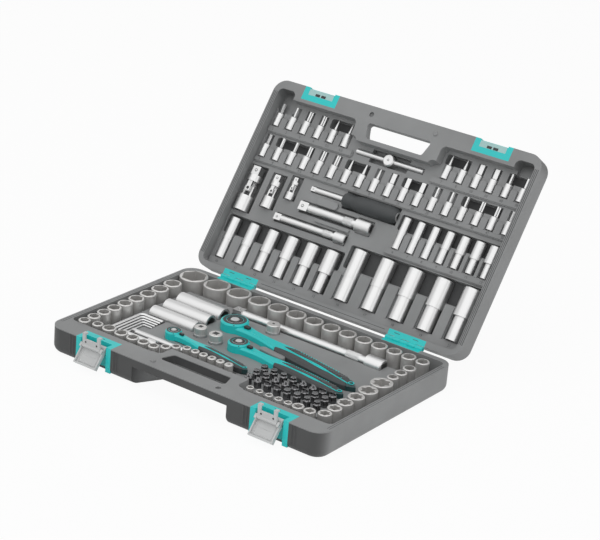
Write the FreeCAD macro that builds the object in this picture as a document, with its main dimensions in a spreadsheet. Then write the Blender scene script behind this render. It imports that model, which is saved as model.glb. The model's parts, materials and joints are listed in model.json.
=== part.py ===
import FreeCAD, Part
import math
import os

import Sketcher

os.makedirs("parts", exist_ok=True)
doc = FreeCAD.newDocument("SocketSet")
Vec = FreeCAD.Vector
Rot = FreeCAD.Rotation
Place = FreeCAD.Placement

# Driving sizes in millimetres and degrees. Heights named drop are measured down from a rim.
SIZES = {
    "case_width": 450, "case_depth": 296, "base_height": 38, "lid_height": 35,
    "corner_radius": 20, "edge_radius": 11, "rim_width": 9, "inner_radius": 8,
    "plateau_drop": 12, "channel_drop": 21, "lid_plateau_drop": 17,
    "lid_open_angle": 125.24, "hinge_offset": 4, "lid_gap": 0.5, "seat_gap": 0.4, "running_gap": 0.06,
    "grip_half_width": 54, "grip_inner_half_width": 47, "grip_front": 25, "grip_back": 47.5,
    "arch_half_width": 82, "arch_inner_half_width": 56, "arch_depth": 50, "bar_thickness": 12,
    "hinge_centre": 142, "hinge_length": 60, "hinge_reach": 8, "hinge_leaf": 2.2, "knuckle_radius": 3.4,
    "pin_radius": 1.5, "knuckle_gap": 0.4,
    "latch_centre": 145, "latch_width": 60, "latch_depth": 22, "latch_wall": 8,
    "lever_length": 31, "lever_width": 38, "lever_sheet": 2, "lever_lip": 5, "lever_angle": 52,
    "latch_pin_drop": 6, "latch_pin_inset": 5, "latch_pin_radius": 1.6, "latch_channel": 12,
    "latch_floor": 3, "barrel_radius": 3.4, "link_offset": 6, "link_pin_radius": 1.2,
    "link_length": 18, "link_width": 30, "link_sheet": 2.2, "link_arm": 5, "link_angle": 92,
    "hook_reach": 3.4, "strike_depth": 20, "strike_height": 24, "catch_height": 3.2, "catch_reach": 10,
    "socket_proud": 2, "half_wall": 2.0, "half_height": 37, "half_drive": 12.7, "half_gap": 2.35,
    "eighth_wall": 1.9, "eighth_height": 28, "eighth_drive": 9.53, "eighth_gap": 1.6,
    "quarter_wall": 1.6, "quarter_least": 11.9, "quarter_height": 25, "quarter_drive": 6.35,
    "quarter_gap": 2.2, "mouth_bevel": 0.8, "star_height": 34, "star_gap": 2.3, "drive_depth": 10,
    "deep_quarter_length": 47, "deep_eighth_length": 62, "deep_half_length": 76,
    "bit_socket_radius": 6, "bit_socket_length": 20, "bit_tip_length": 15, "bit_pitch": 24.3,
    "plug_length": 77, "plug_pitch": 29,
    "bit_flat": 8, "bit_length": 30, "bit_tip": 11, "bit_seat": 16,
    "boss_radius": 3.4, "boss_height": 1.6, "finger_drop": 12, "channel_step": 7,
    "bar_radius": 6.4, "bar_female": 11, "bar_length": 250, "bar_collar": 26,
}
sheet = doc.addObject("Spreadsheet::Sheet", "Sizes")
for row, (alias, size) in enumerate(SIZES.items(), 1):
    sheet.set("A%d" % row, alias)
    sheet.set("B%d" % row, str(size))
    sheet.setAlias("B%d" % row, alias)
doc.recompute()


def size(alias):
    return float(sheet.get(alias))


RIM = size("base_height")
FRONT = -size("case_depth") / 2
BACK = size("case_depth") / 2
HALF_WIDTH = size("case_width") / 2
X_AXIS = Vec(1, 0, 0)
Y_AXIS = Vec(0, 1, 0)
Z_AXIS = Vec(0, 0, 1)
AXIS_POINT = Vec(0, BACK + size("hinge_offset"), RIM + size("lid_gap") / 2)
LID_TILT = 180 - size("lid_open_angle")
LID_PLACE = Place(AXIS_POINT, Rot(X_AXIS, LID_TILT))
LID_LEVEL = -size("lid_plateau_drop")
TRAY_LEVEL = RIM - size("plateau_drop")
ALONG_X = Rot(Y_AXIS, 90)
ALONG_Y = Rot(X_AXIS, -90)
UPRIGHT = Rot()
nodes = []


def add(kind, name, at=(0, 0, 0), turn=UPRIGHT, **sizes):
    """One primitive whose sizes are expressions on the sheet."""
    piece = doc.addObject(kind, name)
    for field, formula in sizes.items():
        piece.setExpression(field, str(formula))
    piece.Placement = Place(Vec(*at), turn)
    return piece


def cylinder(name, radius, height, at=(0, 0, 0), turn=UPRIGHT):
    return add("Part::Cylinder", name, at, turn, Radius=radius, Height=height)


def block(name, length, width, height, at=(0, 0, 0), turn=UPRIGHT):
    return add("Part::Box", name, at, turn, Length=length, Width=width, Height=height)


def prism(name, sides, circumradius, height, at=(0, 0, 0), turn=UPRIGHT):
    piece = add("Part::Prism", name, at, turn, Circumradius=circumradius, Height=height)
    piece.Polygon = sides
    return piece


def cut(name, base, tool):
    piece = doc.addObject("Part::Cut", name)
    piece.Base = base
    piece.Tool = tool
    return piece


def fuse(name, pieces):
    if len(pieces) == 1:
        return pieces[0]
    piece = doc.addObject("Part::MultiFuse", name)
    piece.Shapes = pieces
    piece.Refine = True
    return piece


def group(name, pieces):
    piece = doc.addObject("Part::Compound", name)
    piece.Links = pieces
    return piece


def rounded(name, base, radius, chooser):
    """A fillet on the edges that the chooser accepts."""
    doc.recompute()
    piece = doc.addObject("Part::Fillet", name)
    piece.Base = base
    edges = base.Shape.Edges
    piece.Edges = [(n + 1, radius, radius) for n in range(len(edges)) if chooser(edges[n])]
    return piece


def broken(name, base, bevel, chooser):
    """A chamfer on the edges that the chooser accepts."""
    doc.recompute()
    piece = doc.addObject("Part::Chamfer", name)
    piece.Base = base
    edges = base.Shape.Edges
    piece.Edges = [(n + 1, bevel, bevel) for n in range(len(edges)) if chooser(edges[n])]
    return piece


def circular(edge):
    return edge.Curve.TypeId == "Part::GeomCircle"


def level_edge(edge):
    return edge.BoundBox.ZLength < 1e-6


def upright(edge):
    span = edge.BoundBox
    return span.XLength < 1e-6 and span.YLength < 1e-6


def node(name, piece, place=None):
    """Marks a finished sub-part and gives it its place in the assembly."""
    piece.Label = name
    if place is not None:
        piece.Placement = place.multiply(piece.Placement)
    nodes.append(piece)
    return piece


def rounded_body(name, width, depth, corner, height, edge_radius, edge_at_top):
    """A tray half: a rounded rectangle padded up, with one outer edge loop rounded."""
    body = doc.addObject("PartDesign::Body", name)
    sketch = body.newObject("Sketcher::SketchObject", name + "_outline")
    plane = [feature for feature in body.Origin.OriginFeatures if feature.Role == "XY_Plane"][0]
    sketch.AttachmentSupport = [(plane, "")]
    sketch.MapMode = "FlatFace"
    w, d, r = size(width) / 2, size(depth) / 2, size(corner)
    corners = [(w - r, d - r, 0), (r - w, d - r, 90), (r - w, r - d, 180), (w - r, r - d, 270)]
    for x, y, start in corners:
        first, last = math.radians(start), math.radians(start + 90)
        sketch.addGeometry(Part.ArcOfCircle(Part.Circle(Vec(x, y, 0), Z_AXIS, r), first, last), False)
    for n in range(4):
        ahead = (n + 1) % 4
        begin = sketch.Geometry[n].EndPoint
        end = sketch.Geometry[ahead].StartPoint
        line = sketch.addGeometry(Part.LineSegment(begin, end), False)
        sketch.addConstraint(Sketcher.Constraint("Tangent", n, 2, line, 1))
        sketch.addConstraint(Sketcher.Constraint("Tangent", line, 2, ahead, 1))
    for n in range(1, 4):
        sketch.addConstraint(Sketcher.Constraint("Equal", 0, n))
    sketch.addConstraint(Sketcher.Constraint("Horizontal", 4))
    sketch.addConstraint(Sketcher.Constraint("Vertical", 5))
    sketch.addConstraint(Sketcher.Constraint("Symmetric", 0, 3, 2, 3, -1, 1))
    for kind, first, second, formula in (
        ("DistanceX", 1, 0, "%s - 2 * Sizes.%s" % ("Sizes." + width, corner)),
        ("DistanceY", 2, 1, "%s - 2 * Sizes.%s" % ("Sizes." + depth, corner)),
    ):
        span = 2 * (w - r) if kind == "DistanceX" else 2 * (d - r)
        at = sketch.addConstraint(Sketcher.Constraint(kind, first, 3, second, 3, span))
        sketch.setExpression("Constraints[%d]" % at, formula)
    at = sketch.addConstraint(Sketcher.Constraint("Radius", 0, r))
    sketch.setExpression("Constraints[%d]" % at, "Sizes." + corner)
    pad = body.newObject("PartDesign::Pad", name + "_pad")
    pad.Profile = sketch
    pad.setExpression("Length", "Sizes." + height)
    doc.recompute()
    level = size(height) if edge_at_top else 0
    edges = pad.Shape.Edges
    loop = ["Edge%d" % (n + 1) for n in range(len(edges))
            if abs(edges[n].BoundBox.ZMin - level) < 1e-6 and abs(edges[n].BoundBox.ZMax - level) < 1e-6]
    fillet = body.newObject("PartDesign::Fillet", name + "_edge")
    fillet.Base = (pad, loop)
    fillet.setExpression("Radius", "Sizes." + edge_radius)
    body.Tip = fillet
    doc.recompute()
    return body


def well(name, x_from, x_to, y_from, y_to, floor, top, radius):
    """A rounded hollow between two heights, used as a cutter."""
    hollow = block(name + "_box", x_to - x_from, y_to - y_from, top - floor, (x_from, y_from, floor))
    return rounded(name, hollow, radius, upright)


def wedge_slot(name, outer, inner, near, far, floor, top):
    """A hollow whose sides draw in towards the back, as a grip opening does."""
    points = [Vec(-outer, near, floor), Vec(outer, near, floor), Vec(inner, far, floor), Vec(-inner, far, floor)]
    outline = doc.addObject("Part::Feature", name + "_outline")
    outline.Shape = Part.makePolygon(points + points[:1])
    slot = doc.addObject("Part::Extrusion", name + "_slot")
    slot.Base = outline
    slot.DirMode = "Custom"
    slot.Dir = Z_AXIS
    slot.LengthFwd = top - floor
    slot.Solid = True
    return rounded(name, slot, size("inner_radius") / 2, upright)



# Positions of the tools that stand in the tray, measured from the case centre.
def row_positions(radii, start, gap, sign):
    """Centres of touching rounds along a row, with one gap between neighbours."""
    places = [start]
    for before, after in zip(radii, radii[1:]):
        places.append(places[-1] + sign * (before + after + gap))
    return places


def across_corners(flats):
    return flats / 2 / math.cos(math.radians(30))


def socket_radius(flats, wall, least=0):
    return max(across_corners(flats) + size(wall), least)


# Rows and columns are measured from the sides of the case, and rows across it from its middle.
LEFT = -HALF_WIDTH
RIGHT = HALF_WIDTH
HALF_ROW = BACK - 30
HALF_FIRST = LEFT + 30.1
HALF_COLUMN = RIGHT - 32
HALF_COLUMN_FIRST = BACK - 59.5
STAR_FRONT_ROW = FRONT + 42
STAR_FRONT_FIRST = RIGHT - 49.5
STAR_FRONT_PITCH = 18
STAR_SMALL_ROW = FRONT + 40.5
STAR_SMALL_FIRST = RIGHT - 82
STAR_SMALL_PITCH = 15
EIGHTH_COLUMN = LEFT + 26
EIGHTH_FIRST = BACK - 72
EIGHTH_LAST = (LEFT + 46.5, FRONT + 45.5)
QUARTER_ROW = FRONT + 47
QUARTER_FIRST = LEFT + 65.5
QUARTER_SLOT_ROW = FRONT + 73.5
QUARTER_SLOT_FIRST = -48
QUARTER_SLOT_PITCH = 14
HALF_SIZES = (32, 30, 27, 24, 22, 21, 20, 19, 18, 17, 16, 15, 14, 13)
HALF_SIDE_SIZES = (12, 11, 10)
STAR_RADII = (15, 13, 11, 10.5, 9.5, 9)
STAR_FRONT_RADII = (8, 8)
STAR_SMALL_RADII = (5.4, 5.4, 5.2, 5, 5)
EIGHTH_SIZES = (19, 18, 17, 16, 15, 14, 13, 12, 11)
QUARTER_SIZES = (14, 13, 12, 11, 10)
QUARTER_DIAGONAL = ((9, -70, FRONT + 56.5), (8, -61, FRONT + 67))
QUARTER_SLOT_SIZES = (7, 6, 5.5, 5, 4.5, 4)

standing = []
half = []
eighth = []
quarter = []
stars = []


def stand(kind, label, flats, radius, wall, height, x, y):
    standing.append((kind, label, flats, radius, wall, height, x, y))


def plan_rows():
    radii = [socket_radius(flats, "half_wall") for flats in HALF_SIZES]
    for flats, radius, x in zip(HALF_SIZES, radii, row_positions(radii, HALF_FIRST, size("half_gap"), 1)):
        stand(half, "half_%d" % flats, flats, radius, "half_wall", "half_height", x, HALF_ROW)
    radii = [socket_radius(flats, "half_wall") for flats in HALF_SIDE_SIZES] + list(STAR_RADII)
    column = row_positions(radii, HALF_COLUMN_FIRST, size("star_gap"), -1)
    for flats, radius, y in zip(HALF_SIDE_SIZES, radii, column):
        stand(half, "half_%d" % flats, flats, radius, "half_wall", "half_height", HALF_COLUMN, y)
    for number, (radius, y) in enumerate(zip(STAR_RADII, column[len(HALF_SIDE_SIZES):])):
        stand(stars, "star_%d" % number, None, radius, None, "star_height", HALF_COLUMN, y)
    for number, radius in enumerate(STAR_FRONT_RADII):
        x = STAR_FRONT_FIRST - STAR_FRONT_PITCH * number
        stand(stars, "star_front_%d" % number, None, radius, None, "star_height", x, STAR_FRONT_ROW)
    for number, radius in enumerate(STAR_SMALL_RADII):
        x = STAR_SMALL_FIRST - STAR_SMALL_PITCH * number
        stand(stars, "star_small_%d" % number, None, radius, None, "quarter_height", x, STAR_SMALL_ROW)
    radii = [socket_radius(flats, "eighth_wall") for flats in EIGHTH_SIZES]
    for flats, radius, y in zip(EIGHTH_SIZES, radii, row_positions(radii, EIGHTH_FIRST, size("eighth_gap"), -1)):
        stand(eighth, "eighth_%d" % flats, flats, radius, "eighth_wall", "eighth_height", EIGHTH_COLUMN, y)
    stand(eighth, "eighth_10", 10, socket_radius(10, "eighth_wall"), "eighth_wall", "eighth_height",
          *EIGHTH_LAST)
    least = size("quarter_least") / 2
    radii = [socket_radius(flats, "quarter_wall", least) for flats in QUARTER_SIZES]
    for flats, radius, x in zip(QUARTER_SIZES, radii, row_positions(radii, QUARTER_FIRST, size("quarter_gap"), 1)):
        stand(quarter, "quarter_%d" % flats, flats, radius, "quarter_wall", "quarter_height", x, QUARTER_ROW)
    for flats, x, y in QUARTER_DIAGONAL:
        radius = socket_radius(flats, "quarter_wall", least)
        stand(quarter, "quarter_%d" % flats, flats, radius, "quarter_wall", "quarter_height", x, y)
    for number, flats in enumerate(QUARTER_SLOT_SIZES):
        stand(quarter, "quarter_%d" % (10 * flats), flats, least, "quarter_wall", "quarter_height",
              QUARTER_SLOT_FIRST + QUARTER_SLOT_PITCH * number, QUARTER_SLOT_ROW)


plan_rows()
DRIVES = {id(half): "half_drive", id(eighth): "eighth_drive", id(quarter): "quarter_drive"}
SOCKET_TOP = RIM + size("socket_proud")


def bevelled(name, radius, height, bevel, at=(0, 0, 0), turn=UPRIGHT):
    """A round bar with both end edges broken."""
    bar = cylinder(name + "_bar", radius, height, at, turn)
    piece = doc.addObject("Part::Chamfer", name)
    piece.Base = bar
    piece.Edges = [(1, bevel, bevel), (3, bevel, bevel)]
    return piece


def hex_socket(name, flats, radius, height, drive, place):
    """A socket standing mouth up on its drive end, with its hexagon and its square drive hole."""
    bevel = size("mouth_bevel")
    outer = bevelled(name + "_body", radius, height, bevel)
    deep = "Sizes.%s" % drive
    depth = size("drive_depth") if isinstance(height, str) else height / 3
    mouth = prism(name + "_mouth", 6, "%g / 2 / cos(30)" % flats, "100", (0, 0, depth + 1))
    square = block(name + "_square", deep, deep, "100", (-size(drive) / 2, -size(drive) / 2, -50))
    if size(drive) * 0.7072 > across_corners(flats):
        square.setExpression("Height", str(50 + depth + 1))
    body = cut(name + "_hex", outer, mouth)
    piece = cut(name, body, square)
    piece.Placement = place
    return piece


def star_socket(name, radius, height, place):
    """A socket with a six-lobed mouth: two triangles turned against each other."""
    outer = bevelled(name + "_body", radius, height, size("mouth_bevel") / 2)
    lobes = [prism("%s_lobe_%d" % (name, n), 3, 0.66 * radius, "100", (0, 0, 12), Rot(Z_AXIS, 60 * n))
             for n in range(2)]
    piece = cut(name, outer, fuse(name + "_lobes", lobes))
    piece.Placement = place
    return piece


seats = []
for kind, label, flats, radius, wall, height, x, y in standing:
    place = Place(Vec(x, y, SOCKET_TOP - size(height)), UPRIGHT)
    if flats is None:
        kind.append(star_socket(label, radius, "Sizes." + height, place))
    else:
        kind.append(hex_socket(label, flats, radius, "Sizes." + height, DRIVES[id(kind)], place))
    seats.append(cylinder("seat_" + label, radius + size("seat_gap"), 60, (x, y, SOCKET_TOP - size(height))))
node("sockets_half_inch", group("half_inch_set", half))
node("sockets_three_eighths", group("three_eighths_set", eighth))
node("sockets_quarter", group("quarter_set", quarter))
node("star_sockets", group("star_set", stars))

# Tools that lie in the tray, half sunk at the plateau.
GAP = size("seat_gap")
troughs = []


def lying(name, radius, length, x, y, level, store, margin=0):
    """The trough for a round tool along X: its own bar and a little room."""
    store.append(cylinder("trough_" + name, radius + GAP, length + 2 * GAP + margin,
                          (x - GAP, y, level), ALONG_X))


def square_end(name, width, length, at, turn):
    """A square drive stub centred on its axis."""
    stub = block(name, width, width, length)
    stub.Placement = Place(Vec(*at), turn).multiply(Place(Vec(-width / 2, -width / 2, 0), UPRIGHT))
    return stub


PLUG_RADII = (11, 12, 13)
PLUG_START = LEFT + 54
PLUG_FRONT = 4
plugs = []
for number, radius in enumerate(PLUG_RADII):
    y = PLUG_FRONT + number * size("plug_pitch")
    name = "plug_%d" % number
    place = Place(Vec(PLUG_START, y, TRAY_LEVEL), ALONG_X)
    plugs.append(hex_socket(name, 2 * (radius - 3) * math.cos(math.radians(30)), radius,
                            "Sizes.plug_length", "eighth_drive", place))
    lying(name, radius, size("plug_length"), PLUG_START, y, TRAY_LEVEL, troughs)
node("spark_plug_sockets", group("plug_set", plugs))


def extension_bar(name, radius, female, length, collar, drive, at, turn):
    """A bar with a square stub at its start and a wide square-holed collar at its end."""
    stub = size(drive) * 1.1
    shaft = bevelled(name + "_shaft", radius, length - stub, 0.8, (0, 0, stub))
    end = bevelled(name + "_collar", female, collar, 1.2, (0, 0, length - collar))
    square = square_end(name + "_stub", size(drive), stub + 1, (0, 0, 0), UPRIGHT)
    solid = fuse(name + "_solid", [shaft, end, square])
    hole = square_end(name + "_hole", size(drive) + 0.2, collar, (0, 0, length - 0.6 * collar), UPRIGHT)
    piece = cut(name, solid, hole)
    piece.Placement = Place(Vec(*at), turn)
    return piece


BAR_START = -96
BAR_ROW = 88.5
long_bar = extension_bar("long_bar", "Sizes.bar_radius", "Sizes.bar_female", size("bar_length"),
                         size("bar_collar"), "half_drive", (BAR_START, BAR_ROW, TRAY_LEVEL), ALONG_X)
node("extension_bar_long", long_bar)
lying("long_bar", size("bar_radius") + 2.8, size("bar_length"), BAR_START, BAR_ROW, TRAY_LEVEL, troughs)
lying("long_collar", size("bar_female"), size("bar_collar"),
      BAR_START + size("bar_length") - size("bar_collar"), BAR_ROW, TRAY_LEVEL, troughs)

SMALL_BARS = (("short_quarter", 55, LEFT + 71, -76), ("long_quarter", 111, LEFT + 73, -62.5))
SMALL_BAR_RADIUS = 4.2
SMALL_BAR_FEMALE = 5.9
SMALL_BAR_COLLAR = 14
small_bars = []
for name, length, x, y in SMALL_BARS:
    small_bars.append(extension_bar(name, SMALL_BAR_RADIUS, SMALL_BAR_FEMALE, length, SMALL_BAR_COLLAR,
                                    "quarter_drive", (x, y, TRAY_LEVEL), ALONG_X))
    lying(name, SMALL_BAR_FEMALE, length, x, y, TRAY_LEVEL, troughs)
node("quarter_extension_bars", group("quarter_bars", small_bars))

ADAPTERS = ((-79, -8, 9, "eighth_drive"), (-51, -10.5, 9.5, "half_drive"), (-17, 71.2, 9.5, "half_drive"))
ADAPTER_HEIGHT = 22
adapters = []
for number, (x, y, radius, drive) in enumerate(ADAPTERS):
    name = "adapter_%d" % number
    foot = RIM - ADAPTER_HEIGHT - 8
    body = bevelled(name + "_body", radius, ADAPTER_HEIGHT, 1, (x, y, foot))
    stub = square_end(name + "_stub", size(drive) * 0.75, ADAPTER_HEIGHT + 9, (x, y, foot), UPRIGHT)
    adapters.append(fuse(name, [body, stub]))
    troughs.append(cylinder("seat_" + name, radius + GAP, 60, (x, y, foot)))
node("adapters", group("adapter_set", adapters))

KEY_RADII = (2.9, 2.4, 2.0, 1.7, 1.4)
KEY_PITCH = 5.6
KEY_CORNER = (LEFT + 46.5, -12.5)
KEY_LONG = 62
KEY_SHORT = 38
KEY_FLOOR = TRAY_LEVEL - 3
KEY_BEND = 2.2
KEY_SEAT = (44, 70)
KEY_SEAT_MARGIN = 4
keys = []


def bent_key(name, radius, long_leg, short_leg, corner):
    """A hexagon bar swept round a right angle, with a long leg to the front and a short leg to the right."""
    bend = KEY_BEND * radius
    x, y, level = corner
    ring = doc.addObject("Part::Feature", name + "_section")
    points = [Vec(x + radius * math.sin(math.radians(60 * n)), y - bend,
                  level + radius * math.cos(math.radians(60 * n))) for n in range(7)]
    ring.Shape = Part.Face(Part.makePolygon(points))
    elbow = doc.addObject("Part::Revolution", name + "_elbow")
    elbow.Source = ring
    elbow.Base = Vec(x + bend, y - bend, level)
    elbow.Axis = Z_AXIS
    elbow.Angle = -90
    down = doc.addObject("Part::Extrusion", name + "_long")
    down.Base = ring
    down.DirMode = "Custom"
    down.Dir = -Y_AXIS
    down.LengthFwd = long_leg - bend
    side = prism(name + "_short", 6, radius, short_leg - bend, (x + bend, y, level), ALONG_X)
    return fuse(name, [down, elbow, side])


for number, radius in enumerate(KEY_RADII):
    step = KEY_PITCH * number
    keys.append(bent_key("key_%d" % number, radius, KEY_LONG - step, KEY_SHORT - step,
                         (KEY_CORNER[0] + step, KEY_CORNER[1] - step, KEY_FLOOR + radius)))
node("hex_keys", group("key_set", keys))
troughs.append(block("seat_keys", KEY_SEAT[0], KEY_SEAT[1], 30,
                     (KEY_CORNER[0] - KEY_SEAT_MARGIN, KEY_CORNER[1] - KEY_SEAT[1] + KEY_SEAT_MARGIN, KEY_FLOOR)))

BIT_COLUMNS = 8
BIT_ROWS = (-44, -61, -78)
BIT_PITCH_X = 15.6
BIT_START_X = RIGHT - 168
BIT_FOOT = TRAY_LEVEL - size("bit_seat")
bits = []


def bit_tip(name, style, radius, length, at, turn=UPRIGHT):
    """The working end of a bit: hexagon, star, cross or blade."""
    if style == 0:
        return prism(name, 6, 0.62 * radius, length, at, turn)
    if style == 1:
        star = [prism("%s_%d" % (name, n), 3, 0.72 * radius, length, at, turn.multiply(Rot(Z_AXIS, 60 * n)))
                for n in range(2)]
        return fuse(name, star)
    if style == 2:
        return add("Part::Cone", name, at, turn, Radius1=0.66 * radius, Radius2=0.25 * radius, Height=length)
    blade = block(name, 1.5 * radius, 0.4 * radius, length)
    blade.Placement = Place(Vec(*at), turn).multiply(Place(Vec(-0.75 * radius, -0.2 * radius, 0), UPRIGHT))
    return blade


for row, y in enumerate(BIT_ROWS):
    for column in range(BIT_COLUMNS):
        name = "bit_%d_%d" % (row, column)
        x = BIT_START_X + BIT_PITCH_X * column
        radius = size("bit_flat") / 2 / math.cos(math.radians(30))
        shank = prism(name + "_shank", 6, "Sizes.bit_flat / 2 / cos(30)", "Sizes.bit_length - Sizes.bit_tip",
                      (x, y, BIT_FOOT))
        tip = bit_tip(name + "_tip", (row + column // 2) % 4, radius, size("bit_tip"),
                      (x, y, BIT_FOOT + size("bit_length") - size("bit_tip")))
        bits.append(fuse(name, [shank, tip]))
        troughs.append(cylinder("seat_" + name, radius + GAP, 60, (x, y, BIT_FOOT)))
node("bits", group("bit_set", bits))

# Ratchets: a round head, a tapered handle, a spindle with its square, a lever and a release button.
RATCHETS = {
    "half": dict(head=19.5, thick=22, top=RIM + 1, length=236, neck=8.5, tail=14, handle=15, drive="half_drive",
                 at=(-62, 44), angle=-10.5),
    "eighth": dict(head=15, thick=18, top=RIM, length=188, neck=7, tail=11.5, handle=12.5, drive="eighth_drive",
                   at=(-16, -5.4), angle=-6.6),
    "quarter": dict(head=11.5, thick=14, top=RIM - 1, length=143, neck=5, tail=8.5, handle=10,
                    drive="quarter_drive", at=(-100, -39), angle=-8.1),
}


# Half widths of a handle along its length, as shares of the head, the neck and the tail.
HANDLE_STATIONS = ((0.10, "neck", 1.25), (0.17, "neck", 1.0), (0.28, "neck", 1.02), (0.44, "tail", 0.92),
                   (0.60, "tail", 1.0), (0.80, "tail", 0.92), (0.94, "tail", 0.62))
HEAD_SHARE = 0.9
# Outlines of the two grip panels: shares of the length along the handle, and of the tail across it.
RIBBED_PANEL = ((0.41, 0.30), (0.47, 0.66), (0.60, 0.78), (0.80, 0.70), (0.92, 0.42), (0.90, 0.20),
                (0.75, 0.12), (0.55, 0.12), (0.45, 0.14))
SMOOTH_PANEL = ((0.39, -0.46), (0.47, -0.22), (0.60, -0.16), (0.80, -0.15), (0.93, -0.22), (0.96, -0.70),
                (0.85, -1.6), (0.60, -1.8), (0.43, -1.5))


def handle_outline(name, head, neck, tail, length, grow):
    """The plan of a handle from the head's centre: it narrows to a neck and swells into the grip."""
    widths = {"neck": neck, "tail": tail}
    stations = [(0, HEAD_SHARE * head + grow)]
    stations += [(share * length, widths[of] * part + grow) for share, of, part in HANDLE_STATIONS]
    stations.append((length + grow, 0))
    sides = []
    for sign in (1, -1):
        curve = Part.BSplineCurve()
        curve.interpolate([Vec(x, sign * y, 0) for x, y in stations])
        sides.append(curve.toShape())
    closing = Part.makeLine(Vec(0, -stations[0][1], 0), Vec(0, stations[0][1], 0))
    outline = doc.addObject("Part::Feature", name)
    outline.Shape = Part.Wire(Part.__sortEdges__(sides + [closing]))
    return outline


def panel_outline(name, shares, length, tail, shrink):
    """A closed smooth outline on the handle, drawn in a little where it is the panel's own."""
    points = [Vec(length * along, tail * across, 0) for along, across in shares]
    middle = Vec(0, 0, 0)
    for point in points:
        middle += point
    middle = middle * (1 / len(points))
    curve = Part.BSplineCurve()
    curve.interpolate([middle + (point - middle) * shrink for point in points], PeriodicFlag=True)
    outline = doc.addObject("Part::Feature", name)
    outline.Shape = Part.Wire([curve.toShape()])
    return outline


def extrude(name, outline, height, at, turn=UPRIGHT):
    piece = doc.addObject("Part::Extrusion", name)
    piece.Base = outline
    piece.DirMode = "Custom"
    piece.Dir = Z_AXIS
    piece.LengthFwd = height
    piece.Solid = True
    piece.Placement = Place(Vec(*at), turn)
    return piece


PANEL_DEPTH = 1.6
PANEL_FIT = 0.992
HEAD_BEVEL = 2
HANDLE_BEVEL_SHARE = 0.2
SPINDLE_SHARE = 0.6
BUTTON_SHARE = 0.5
BUTTON_WELL_SHARE = 0.35
BUTTON_RISE = 1.2
BUTTON_ROOM = 2
LEVER_SHARE = 0.45
LEVER_AHEAD = 1.3
LEVER_DEPTH = 4
LEVER_LIFT = 0.4
LEVER_THICK = 2.4
LEVER_THUMB = 3
HANG_HOLE_SHARE = 0.2
HANG_HOLE_BACK = 0.62


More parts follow.
